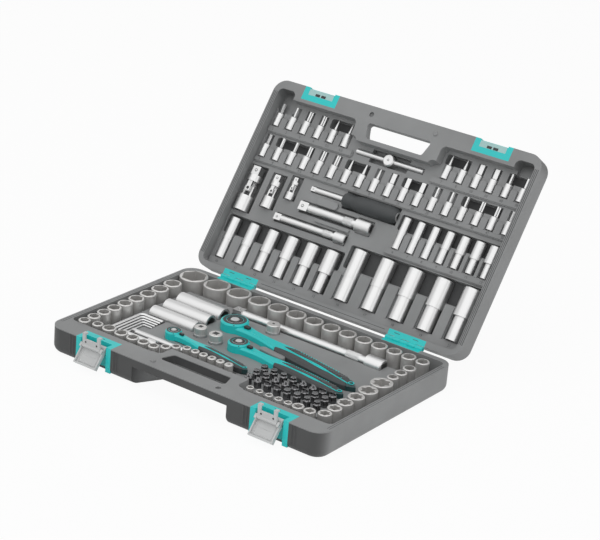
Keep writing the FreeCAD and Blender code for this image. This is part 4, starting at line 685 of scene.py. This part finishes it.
def tray_pads():
    """Raised pads between the tools of the lid, and one between two handles in the base."""
    foot_level, top = LID_TRAY - PAD_SINK, LID_TRAY + LEDGE_RISE
    made = []
    for count, first, pitch, width, less, foot, head in PAD_ROWS:
        for number in range(count):
            place = at(first + pitch * number, (foot + head) / 2, 0, LID_FRAME)
            made.append(pad(width - less * number, head - foot, foot_level, top, PAD_CORNER, place))
    for x, v, length, width in LOOSE_PADS:
        made.append(pad(length, width, foot_level, top, LOOSE_CORNER_SHARE * width,
                        at(x, v, 0, LID_FRAME)))
    add_set("lid_tray_pads", made, "lid", "case_plastic")
    lay = at(x=30, y=8, z=0) @ Matrix.Rotation(math.radians(-8.5), 4, "Z")
    between = pad(length=44, width=10.5, low=TRAY - PAD_SINK, high=TRAY + 7, corner=5, place=lay,
                  ease=1.5)
    add_piece("handle_pad", between, "base", "case_plastic")


# Floors of the finger pockets and deep channels, covered with painted shade: from x, to x, from and
# to heights, with their depth below the tray.
POCKETS = ((-121, -79, 251, 266), (76, 112, 251, 266), (176, 206, 251, 266),
           (-193, -128, 202, 216), (-70, -30, 202, 216), (27, 63, 202, 216),
           (125, 186, 202, 216), (72, 110, 150, 162), (179, 193, 148, 160))
CHANNELS = ((-214, -9.7, 60, 88), (-5.7, 215.3, 68, 102), (49.2, 214.6, 142.5, 165.5))
DEEP_FLOORS = ((POCKETS, 12), (CHANNELS, 7))
FLOOR_ROOM = 1


def pocket_floor_shade():
    """Dark sheets of painted shade on the floors of the deepest hollows of the lid, where fingers
    reach behind a tool.
    """
    made = []
    for rows, drop in DEEP_FLOORS:
        level = LID_TRAY - drop
        for x_from, x_to, v_from, v_to in rows:
            place = at((x_from + x_to) / 2, (v_from + v_to) / 2, 0, LID_FRAME)
            made.append(pad(x_to - x_from - FLOOR_ROOM, v_to - v_from - FLOOR_ROOM,
                            low=level - 0.5, high=level + 0.2, corner=PAD_CORNER, place=place,
                            ease=0.1))
    add_set("pocket_floor_shade", made, "lid", "case_plastic", POCKET_SHADE)


# The grip opening of the base: half widths at the front and the back, where they lie, and the
# levels between which its lining of painted shade stands.
SLOT_HALVES, SLOT_NEAR, SLOT_FAR = (54, 47), -123, -100.5
SLOT_FOOT, SLOT_TOP = 26.3, RIM - 1.0
SLOT_CORNER, SLOT_SKIN, SLOT_SHEET = 4, 0.15, 0.1
# The wall that shows through the opening, at the back of the arch, covered with painted shade.
ARCH_WALL, ARCH_WALL_SIZE = (0, -98, 13), (104, 21)


def slot_shade_lining():
    """Painted shade inside the grip opening: dull dark sides a hair in front of its walls, and a
    dark plate on the wall at the back of the arch.
    """
    shape = bmesh.new()
    near, far = SLOT_NEAR + SLOT_SKIN, SLOT_FAR - SLOT_SKIN
    wide, slim = (half - SLOT_SKIN for half in SLOT_HALVES)
    corners = ((-wide, near), (wide, near), (slim, far), (-slim, far))
    shape.faces.new([shape.verts.new(mm(x, y, SLOT_FOOT)) for x, y in corners])
    bmesh.ops.bevel(shape, geom=shape.verts[:], offset=SLOT_CORNER * MM, segments=6, profile=0.5,
                    affect="VERTICES")
    floor = shape.faces[:]
    grown = bmesh.ops.extrude_edge_only(shape, edges=shape.edges[:])["geom"]
    raised = [item for item in grown if isinstance(item, bmesh.types.BMVert)]
    bmesh.ops.translate(shape, vec=mm(0, 0, SLOT_TOP - SLOT_FOOT), verts=raised)
    bmesh.ops.delete(shape, geom=floor, context="FACES_ONLY")
    bmesh.ops.solidify(shape, geom=shape.faces[:], thickness=SLOT_SHEET * MM)
    wall = inlay(*ARCH_WALL_SIZE, at(*ARCH_WALL) @ FACING_FRONT)
    add_set("slot_shade_lining", (as_mesh(shape, "slot_shade_lining"), wall), "base", "case_plastic",
            POCKET_SHADE)


# Size marks of the lid: texts, first x, pitch and height above the hinge edge.
LID_MARKS = (
    ("3 4 5 5.5 6 7 8 10 8 10 15 20 25 27 30 40 45 50", -206.55, 24.3, 176.3),
    ("1 2 3 4 5.5 6.5", -206.55, 24.3, 224.2), ("7 8 10 55 60 70", 85.05, 24.3, 224.2),
    ("6 7 8 9 10 11 13", 60.2, 23.9, 109.6), ("10 11 12 13 14 15", -200, 34.6, 15),
    ("16 17 18 19 21", 14.3, 46, 15),
)
# Size marks beside the left column of the base: text and y.
COLUMN_MARKS = (("19", 76), ("18", 51.4), ("17", 27.9), ("16", 5.5), ("15", -15.6), ("14", -35.7),
                ("13", -54.7))
COLUMN_MARK_X, MARK_HEIGHT = -179.5, 5.2


def size_marks():
    """Raised size numerals beside the seats."""
    level = LID_TRAY + LEDGE_RISE
    lid = [lettered(text, MARK_HEIGHT, at(first + pitch * number, v, level, LID_FRAME))
           for texts, first, pitch, v in LID_MARKS for number, text in enumerate(texts.split())]
    base = [lettered(text, MARK_HEIGHT, at(COLUMN_MARK_X, y, TRAY)) for text, y in COLUMN_MARKS]
    mark = finish("size_mark_grey", (0.1, 0.103, 0.105), 0.5, bump=0.1)
    add_set("lid_size_marks", lid, "lid", "case_plastic", mark)
    add_set("base_size_marks", base, "base", "case_plastic", mark)


# Trim of a ratchet: shares of the head's radius, ribs by shares of the length and their number,
# and the corners of the teal line by shares of the length and of the tail's half width.
SPINDLE_SHARE, BUTTON_SHARE, COLLAR_SHARE, DOT_SHARE = 0.6, 0.5, 0.84, 0.93
RIB_FIRST, RIB_LAST, RIB_COUNT = 0.47, 0.89, 22
TICK_FIRST, TICK_COUNT = RIB_FIRST + 0.05, RIB_COUNT - 6
LINE_CORNERS = ((0.42, -0.02), (0.7, -0.02), (0.955, -0.3))
RING_GAP = 0.4
DOT_ANGLES = (-0.8, 0.8)


def ratchet_trim(name):
    """Ribs, line, end, eye and ticks of the grip, and rings and dots of the head."""
    tool = RATCHETS[name]
    head, top, length, tail = tool.head, tool.top, tool.length, tool.tail
    body = "ratchet_" + name
    lay = at(tool.x, tool.y, 0) @ Matrix.Rotation(math.radians(tool.angle), 4, "Z")
    level = top - tool.thick / 2 + tool.handle / 2
    teal = FINISHES["ratchet_teal"]
    step = (RIB_LAST - RIB_FIRST) * length / (RIB_COUNT - 1)
    rows = ribs(RIB_COUNT, first=(RIB_FIRST * length, 0.42 * tail, level), step=(step, 0, 0),
                span=(0.12 * tail, 0.42 * tail, 0), radius=0.2 * step, material=RIB_FINISH,
                place=lay)
    add_piece("grip_ribs_" + name, rows, body, "handle_rubber", RIB_FINISH)
    corners = [(along * length, across * tail, level) for along, across in LINE_CORNERS]
    line = [bead(one, two, 0.06 * tail, teal, lay) for one, two in zip(corners, corners[1:])]
    add_set("grip_line_" + name, line, body, "ratchet_teal")
    end = pad(length=0.075 * length, width=0.62 * tail, low=level - 0.5, high=level + 0.35,
              corner=0.25 * tail, place=at(0.925 * length, 0.1 * tail, 0, lay), ease=0.3)
    add_set("grip_end_" + name, [end], body, "handle_rubber")
    eye = washer(inner=0.2 * tail, outer=0.3 * tail, thick=0.5,
                 place=at(length - 0.62 * tail, 0, level, lay))
    add_piece("hang_eye_" + name, eye, body, "ratchet_teal")
    ticks = ribs(TICK_COUNT, first=(TICK_FIRST * length, 0.70 * tail, level), step=(step, 0, 0),
                 span=(0.3 * step, 0.05 * tail, 0), radius=0.17 * step, material=teal, place=lay)
    add_piece("grip_ticks_" + name, ticks, body, "ratchet_teal")
    spindle = SPINDLE_SHARE * head
    crown = at(0, 0, top, lay)
    ring = washer(BUTTON_SHARE * spindle + RING_GAP, spindle - 0.5, thick=0.35, place=crown)
    add_piece("drive_ring_" + name, ring, "drive_" + name, "dark_plastic")
    collar = washer(spindle + RING_GAP, COLLAR_SHARE * head, thick=0.3, place=crown)
    add_piece("head_ring_" + name, collar, body, "handle_rubber")
    out = DOT_SHARE * head
    dots = [stud(radius=0.05 * head, rise=0.25, sink=0.6,
                 place=at(out * math.cos(angle), out * math.sin(angle), top - 0.9, lay))
            for angle in DOT_ANGLES]
    add_set("head_dots_" + name, dots, body, "dark_plastic")


# A latch at rest: pivots of flap and link in y and z, and their angles.
FLAP_PIVOT, FLAP_ANGLE = (-143, 32), math.radians(52)
LINK_PIVOT, LINK_ANGLE = (-151.42, 30.97), math.radians(2)
# On the flap, from its pivot: from x and y, to x and y, and radius of each ridge.
FLAP_RIDGES = ((-13.5, -8, -13.5, -27, 0.7), (13.5, -8, 13.5, -27, 0.7),
               (-13.5, -27, 13.5, -27, 0.7), (-9, -17, 9, -17, 0.35))
FLAP_SKIN = 1
# Places across the link's holes and the strike's slots; marks on the housing by length, x and y.
LINK_HOLES, STRIKE_SLOTS = (-9.5, 9.5), (-5, 5)
HOUSING_MARKS = ((9, 0, -131), (3, -25, -133))
PROUD = 0.02


def latch_trim(tag, side):
    """A raised border and finger ridge on the flap, dark studs of painted shade for the holes in
    the link, marks on the housing.
    """
    centre = side * LATCH_X
    flap = at(centre, *FLAP_PIVOT) @ Matrix.Rotation(FLAP_ANGLE, 4, "X")
    ridges = [bead((x_from, y_from, FLAP_SKIN), (x_to, y_to, FLAP_SKIN), radius,
                   FINISHES["latch_plastic"], flap)
              for x_from, y_from, x_to, y_to, radius in FLAP_RIDGES]
    add_set("flap_border_" + tag, ridges, "lever_" + tag, "latch_plastic")
    link = at(centre, *LINK_PIVOT) @ Matrix.Rotation(LINK_ANGLE, 4, "X")
    # Dark studs paint the shade in the link's holes.
    holes = [stud(radius=1.4, rise=0.12, sink=0.3, place=at(x, -1.1, 6, link) @ FACING_FRONT)
             for x in LINK_HOLES]
    add_set("link_holes_" + tag, holes, "link_" + tag, "dark_plastic")
    marks = [plate(length, width=1.1, thick=0.3, place=at(centre + x, y, RIM + PROUD))
             for length, x, y in HOUSING_MARKS]
    add_set("housing_marks_" + tag, marks, "base", "dark_plastic")
    pale = finish("pale_teal_" + tag, (0.42, 0.66, 0.645), 0.35, bump=0.05, tone=0.05)
    floor = plate(length=42, width=9.0, thick=0.3, place=at(centre, 289.2, PROUD, LID_FRAME))
    add_piece("strike_floor_" + tag, floor, "lid", "teal_plastic", pale)
    # Dark plates paint the shade in the strike's slots.
    slots = [plate(length=8, width=4.2, thick=0.35, place=at(centre + x, 287, 0.08, LID_FRAME))
             for x in STRIKE_SLOTS]
    add_set("strike_slots_" + tag, slots, "lid", "dark_plastic")


HINGE_SLOTS = (-16, 14)
HINGE_RIBS = dict(count=2, span=(58, 0, 0), radius=0.45, material=FINISHES["teal_plastic"])
HINGE_RIB_SINK = 0.38


def hinge_trim(tag, side):
    """Ribs along the hinge leaves, and dark plates of painted shade for their slots."""
    centre = side * HINGE_X
    lid = ribs(first=(centre, 3.0, -HINGE_RIB_SINK), step=(0, 3.0, 0), place=LID_FRAME,
               **HINGE_RIBS)
    add_piece("hinge_ribs_lid_" + tag, lid, "lid", "teal_plastic")
    base = ribs(first=(centre, HALF_DEPTH - 1.6, RIM - HINGE_RIB_SINK), step=(0, -2.9, 0),
                **HINGE_RIBS)
    add_piece("hinge_ribs_base_" + tag, base, "base", "teal_plastic")
    slots = [plate(length=9, width=0.9, thick=0.2, place=at(centre + x, 4.5, -0.06, LID_FRAME))
             for x in HINGE_SLOTS]
    add_set("hinge_slots_" + tag, slots, "lid", "dark_plastic")


# Square drives: height of the upper face above the tray, and radius of the detent ball.
HALF_SQUARE, EIGHTH_SQUARE, QUARTER_SQUARE = (6.35, 1.7), (4.77, 1.3), (3.18, 0.9)
# Detents of the lid: name, body, and for each ball its place, height and radius.
LID_DETENTS = (
    ("lid_bars", "lid", ((-103.5, 130.7, *HALF_SQUARE), (-136.5, 104.7, *EIGHTH_SQUARE),
                         (-100.5, 159, *QUARTER_SQUARE))),
    ("joint_half", "joint_drive_half", ((-201, 158.5, *HALF_SQUARE),)),
    ("joint_eighth", "joint_drive_eighth", ((-163, 157.5, *EIGHTH_SQUARE),)),
    ("joint_quarter", "joint_drive_quarter", ((-133.5, 164, *QUARTER_SQUARE),)),
    ("tee_head", "tee_head", ((-5.3, 231, 6, 1.2),)),
)
LONG_BAR_DETENT = (-89, 88.5, *HALF_SQUARE)


def detent(x, y, level, radius, frame_place):
    """A sprung ball in a square drive, with a dark ring of painted shade in the gap round it."""
    place = at(x, y, level, frame_place)
    ball = stud(radius, rise=0.55 * radius, place=place, sink=0.3)
    ring = washer(inner=radius + 0.05, outer=1.35 * radius, thick=0.06, place=place, ease=0.02)
    return ball, ring


def detents():
    """Detent balls on every square drive that shows."""
    for name, body, spots in LID_DETENTS:
        pairs = [detent(x, v, LID_TRAY + rise, radius, LID_FRAME) for x, v, rise, radius in spots]
        add_set("detent_balls_" + name, [ball for ball, ring in pairs], body, "satin_chrome")
        add_set("detent_rings_" + name, [ring for ball, ring in pairs], body, "dark_plastic")
    x, y, rise, radius = LONG_BAR_DETENT
    ball, ring = detent(x, y, TRAY + rise, radius, BASE_FRAME)
    add_piece("detent_ball_long_bar", ball, "base", "satin_chrome")
    add_piece("detent_ring_long_bar", ring, "base", "dark_plastic")


# Universal joints: place along the lid, radius, length.
JOINTS = {"half": (-201, 95.6, 12, 69), "eighth": (-163, 111, 9, 51),
          "quarter": (-133.5, 133, 6.6, 34)}
FORK_SHARE, FORK_PROUD = 0.62, 0.3


def joint_pins():
    """Dark pin ends in the forks of the universal joints."""
    for name, (x, v, radius, length) in JOINTS.items():
        place = at(x, v + length / 2, LID_TRAY + FORK_SHARE * radius + FORK_PROUD, LID_FRAME)
        pin = stud(radius=0.19 * radius, rise=0.08, place=place, sink=0.2)
        add_piece("joint_pin_" + name, pin, "joint_drive_" + name, "dark_plastic")


# Knurled bands: rings, points round a ring, radius, pitch and height of a point; then the place.
LONG_BAR_KNURL = ((13, 24, 6.35, 1.6, 0.7), (96, 88.5))
LID_BAR_KNURLS = (((9, 24, 6.15, 1.6, 0.7), (-32, 130.7)), ((9, 20, 4.95, 1.5, 0.6), (-55, 104.7)))


def knurls():
    """Diamond knurling where a bar is gripped."""
    chrome = FINISHES["satin_chrome"]
    band, place = LONG_BAR_KNURL
    add_piece("long_bar_knurl", knurl(*band, chrome, at(*place, TRAY)), "base", "satin_chrome")
    lid = [knurl(*band, chrome, at(*place, LID_TRAY, LID_FRAME)) for band, place in LID_BAR_KNURLS]
    add_set("lid_bar_knurl", lid, "lid", "satin_chrome")


def spinner_end():
    """The ringed end of the spinner handle, with a dark plate of painted shade for its square hole.
    """
    end = at(44, 159, LID_TRAY, LID_FRAME) @ FACING_RIGHT
    ring = washer(inner=4.9, outer=7.6, thick=0.5, place=end)
    add_piece("spinner_end_ring", ring, "lid", "satin_chrome")
    hole = plate(length=6.4, width=6.4, thick=0.4, place=at(0, 0, 0.05, end))
    add_piece("spinner_end_hole", hole, "lid", "dark_plastic")


def ring_of(shape, x, y, z, radius, sides, wave=0.0, lobes=0, squash=1.0):
    """A ring of points round an upright axis, round, lobed or flattened."""
    points = []
    for n in range(sides):
        angle = 2 * math.pi * n / sides
        r = radius * (1 + wave * math.cos(lobes * angle))
        points.append(shape.verts.new(mm(x + r * math.cos(angle),
                                         y + squash * r * math.sin(angle), z)))
    return points


# Star sockets: a column at the right in front of three hexagon sockets, which are given by their
# flats and wall, then a front pair and a small row.
STAR_TOP, STAR_HEIGHT, STAR_SMALL_HEIGHT, STAR_DEPTH = 40.0, 34.0, 25.0, 13
STAR_COLUMN_X, STAR_COLUMN_BACK, STAR_COLUMN_ROOM = 193.0, 59.5, 2.3
STAR_COLUMN = (15, 13, 11, 10.5, 9.5, 9)
COLUMN_FLATS, COLUMN_WALL = (12, 11, 10), 2.0
# Front pair and small row: first x, pitch, y and radii.
STAR_PAIR = (175.5, 18, -106, (8, 8))
STAR_SMALL = (143, 15, -107.5, (5.4, 5.4, 5.2, 5, 5))
# The mouth of a star socket: lobes, their middle and depth as shares of the radius.
LOBES, LOBE_MIDDLE, LOBE_DEPTH = 6, 0.69, 0.11
SOCKET_SIDES, SOCKET_BEVEL, MOUTH_EASE = 48, 0.7, 0.5


def star_places():
    """Centre, radius and height of each star socket, by the same rules as the tray's seats."""
    hex_radii = [flats / 2 / math.cos(math.radians(30)) + COLUMN_WALL for flats in COLUMN_FLATS]
    radii = [*hex_radii, *STAR_COLUMN]
    y = HALF_DEPTH - STAR_COLUMN_BACK
    places = []
    for number, radius in enumerate(radii):
        if number:
            y -= radii[number - 1] + radius + STAR_COLUMN_ROOM
        if number >= len(hex_radii):
            places.append((STAR_COLUMN_X, y, radius, STAR_HEIGHT))
    for (first, pitch, row, sizes), height in ((STAR_PAIR, STAR_HEIGHT),
                                               (STAR_SMALL, STAR_SMALL_HEIGHT)):
        places += [(first - pitch * n, row, radius, height) for n, radius in enumerate(sizes)]
    return places


def star_socket(shape, x, y, radius, height):
    """One upright socket in a shared mesh: a bevelled wall and a mouth with rounded lobes."""
    foot, top = STAR_TOP - height, STAR_TOP
    wall = ((radius - SOCKET_BEVEL, foot), (radius, foot + SOCKET_BEVEL),
            (radius, top - SOCKET_BEVEL), (radius - SOCKET_BEVEL, top))
    rings = [ring_of(shape, x, y, z, r, SOCKET_SIDES) for r, z in wall]
    for z, ease in ((top, MOUTH_EASE), (top - MOUTH_EASE, 0), (top - STAR_DEPTH, 0)):
        middle = LOBE_MIDDLE * radius + ease
        rings.append(ring_of(shape, x, y, z, middle, SOCKET_SIDES, LOBE_DEPTH * radius / middle,
                             LOBES))
    skin(shape, rings)


def star_sockets():
    """Sockets with six rounded lobes in the mouth."""
    shape = bmesh.new()
    for place in star_places():
        star_socket(shape, *place)
    bmesh.ops.recalc_face_normals(shape, faces=shape.faces)
    made = add_piece("star_socket_set", as_mesh(shape, "star_socket_set"), "base", "satin_nickel")
    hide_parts("star_sockets")


# The block of bits: its rows and columns, and the levels and size of a bit.
BIT_ROWS, BIT_COLUMNS, BIT_FIRST, BIT_PITCH = (-44, -61, -78), 8, 57.0, 15.6
BIT_FOOT, BIT_SHOULDER, BIT_TOP, BIT_RADIUS, BIT_SIDES = 10.0, 35.0, 40.0, 5.6, 24
# Shank: heights and shares of the radius, with the wave that makes it a hexagon.
BIT_SHANK = ((BIT_FOOT, 0.9), (BIT_FOOT + 0.8, 0.935), (BIT_SHOULDER, 0.935))
SHANK_WAVE, SHANK_LOBES, NECK_SHARE, TIP_SHARE = 0.062, 6, 0.8, 0.9
# Above the shoulder: rise of the neck and of the point's foot, and the last drop to its top.
NECK_RISE, POINT_RISE, POINT_DROP = 1.2, 1.6, 0.5
# Points, as hexagon, star, cross and blade: share, wave, lobes, squash, and share at the top.
BIT_POINTS = ((0.8, 0.06, 6, 1.0, 0.8), (0.7, 0.16, 6, 1.0, 0.66), (0.6, 0.3, 4, 1.0, 0.16),
              (0.86, 0.0, 0, 0.22, 0.86))


def bit(shape, x, y, share, wave, lobes, squash, end):
    """One upright bit in a shared mesh: a hexagon shank, a round neck and a shaped point."""
    rings = [ring_of(shape, x, y, z, BIT_RADIUS * part, BIT_SIDES, SHANK_WAVE, SHANK_LOBES)
             for z, part in BIT_SHANK]
    rings.append(ring_of(shape, x, y, BIT_SHOULDER + NECK_RISE, BIT_RADIUS * NECK_SHARE, BIT_SIDES))
    for z, part in ((BIT_SHOULDER + POINT_RISE, share), (BIT_TOP - POINT_DROP, (share + end) / 2),
                    (BIT_TOP, end * TIP_SHARE)):
        rings.append(ring_of(shape, x, y, z, BIT_RADIUS * part, BIT_SIDES, wave, lobes, squash))
    skin(shape, rings)


def bit_set():
    """Hexagon-shanked bits with hexagon, star, cross and blade points."""
    shape = bmesh.new()
    for row, y in enumerate(BIT_ROWS):
        for column in range(BIT_COLUMNS):
            point = BIT_POINTS[(row + column // 2) % len(BIT_POINTS)]
            bit(shape, BIT_FIRST + BIT_PITCH * column, y, *point)
    bmesh.ops.recalc_face_normals(shape, faces=shape.faces)
    made = add_piece("bit_set", as_mesh(shape, "bit_set"), "base", "dark_steel")
    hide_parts("bits")


# Upright adapters: place, radius and side of the square in the top.
ADAPTERS = ((-79, -8, 9, 5.6), (-51, -10.5, 9.5, 7.6), (-17, 71.2, 9.5, 3.2))
COLLAR_FOOT, COLLAR_EDGE, COLLAR_TOP, COLLAR_STEPS = 29.6, 38.2, 39.3, 36
COLLAR_SHRINK, COLLAR_BEVEL = 0.1, 1.2


def adapter_caps():
    """Upright adapters: a bevelled collar up to the rim and a dark plate of painted shade for the
    square hole in its top.
    """
    caps, holes = [], []
    for x, y, radius, square in ADAPTERS:
        side = radius - COLLAR_SHRINK
        caps.append(turned([(0, COLLAR_FOOT), (side, COLLAR_FOOT), (side, COLLAR_EDGE),
                            (radius - COLLAR_BEVEL, COLLAR_TOP), (0, COLLAR_TOP)],
                           at(x, y, 0), COLLAR_STEPS))
        holes.append(inlay(square, square, at(x, y, COLLAR_TOP)))
    add_set("adapter_collars", caps, "base", "satin_nickel")
    add_set("adapter_squares", holes, "base", "dark_plastic")


FLOOR_SPAN = 14.0
FLOOR_GLOW = 0.94


def seen_or_mirrored(tree):
    """A mask of the rays that see the background directly, mirrored in metal or through glass."""
    ray = add_node(tree, "ShaderNodeLightPath")
    seen = ray, "Is Camera Ray"
    for kind in ("Is Glossy Ray", "Is Transmission Ray"):
        seen = maths(tree, "MAXIMUM", seen, (ray, kind))
    return seen


def floor_white():
    """A white sweep for the camera that still takes the soft shadow."""
    made = finish("pale_floor", (0.9, 0.9, 0.9), 0.85, tone=0.01, bump=0.0, marks=0.0)
    tree = made.node_tree
    shader = tree.nodes["Principled BSDF"]
    glow = add_node(tree, "ShaderNodeEmission")
    share = maths(tree, "MULTIPLY", seen_or_mirrored(tree), FLOOR_GLOW)
    blend = add_node(tree, "ShaderNodeMixShader", {
        "Fac": share, 1: (shader, "BSDF"), 2: (glow, "Emission")})
    wire(tree, blend, "Shader", tree.nodes["Material Output"], "Surface")
    return made


# Lamps: name, place, power and width; what they aim at; and the light of the white surround.
LAMPS = (("top_lamp", (0.1, -1.1, 2.3), 50, 5.0), ("side_lamp", (2.3, 0.2, 0.8), 6, 1.6))
LAMP_AIM = Vector((0, 0.1, 0.08))
SURROUND = 0.38


def add_stage():
    """A pale floor that keeps the shadow, a white surround and two soft lamps."""
    floor_mesh = bpy.data.meshes.new("studio_floor")
    half = FLOOR_SPAN / 2
    floor_mesh.from_pydata([(-half, -half, 0), (half, -half, 0), (half, half, 0), (-half, half, 0)],
                           [], [(0, 1, 2, 3)])
    floor = show("studio_floor", floor_mesh)
    floor_mesh.materials.append(floor_white())
    world = bpy.data.worlds.new("white_surround")
    bpy.context.scene.world = world
    world.use_nodes = True
    tree = world.node_tree
    tree.nodes.clear()
    strength = add_node(tree, "ShaderNodeMapRange", {
        "Value": seen_or_mirrored(tree), "To Min": SURROUND, "To Max": 1.0})
    sky = add_node(tree, "ShaderNodeBackground", {
        "Color": (1, 1, 1, 1), "Strength": (strength, "Result")})
    add_node(tree, "ShaderNodeOutputWorld", {"Surface": (sky, "Background")})
    for name, place, power, width in LAMPS:
        data = bpy.data.lights.new(name, "AREA")
        data.energy = power
        data.size = width
        lamp = show(name, data)
        lamp.location = place
        lamp.rotation_euler = (LAMP_AIM - Vector(place)).to_track_quat("-Z", "Y").to_euler()


add_camera()
add_stage()
finish_nodes()
rim_groove_shading()
front_ribs()
lid_ledges()
tray_pads()
pocket_floor_shade()
slot_shade_lining()
size_marks()
for name in RATCHETS:
    ratchet_trim(name)
for tag, side in SIDES:
    latch_trim(tag, side)
    hinge_trim(tag, side)
detents()
joint_pins()
knurls()
spinner_end()
star_sockets()
bit_set()
adapter_caps()
bpy.context.scene.view_settings.view_transform = "Standard"
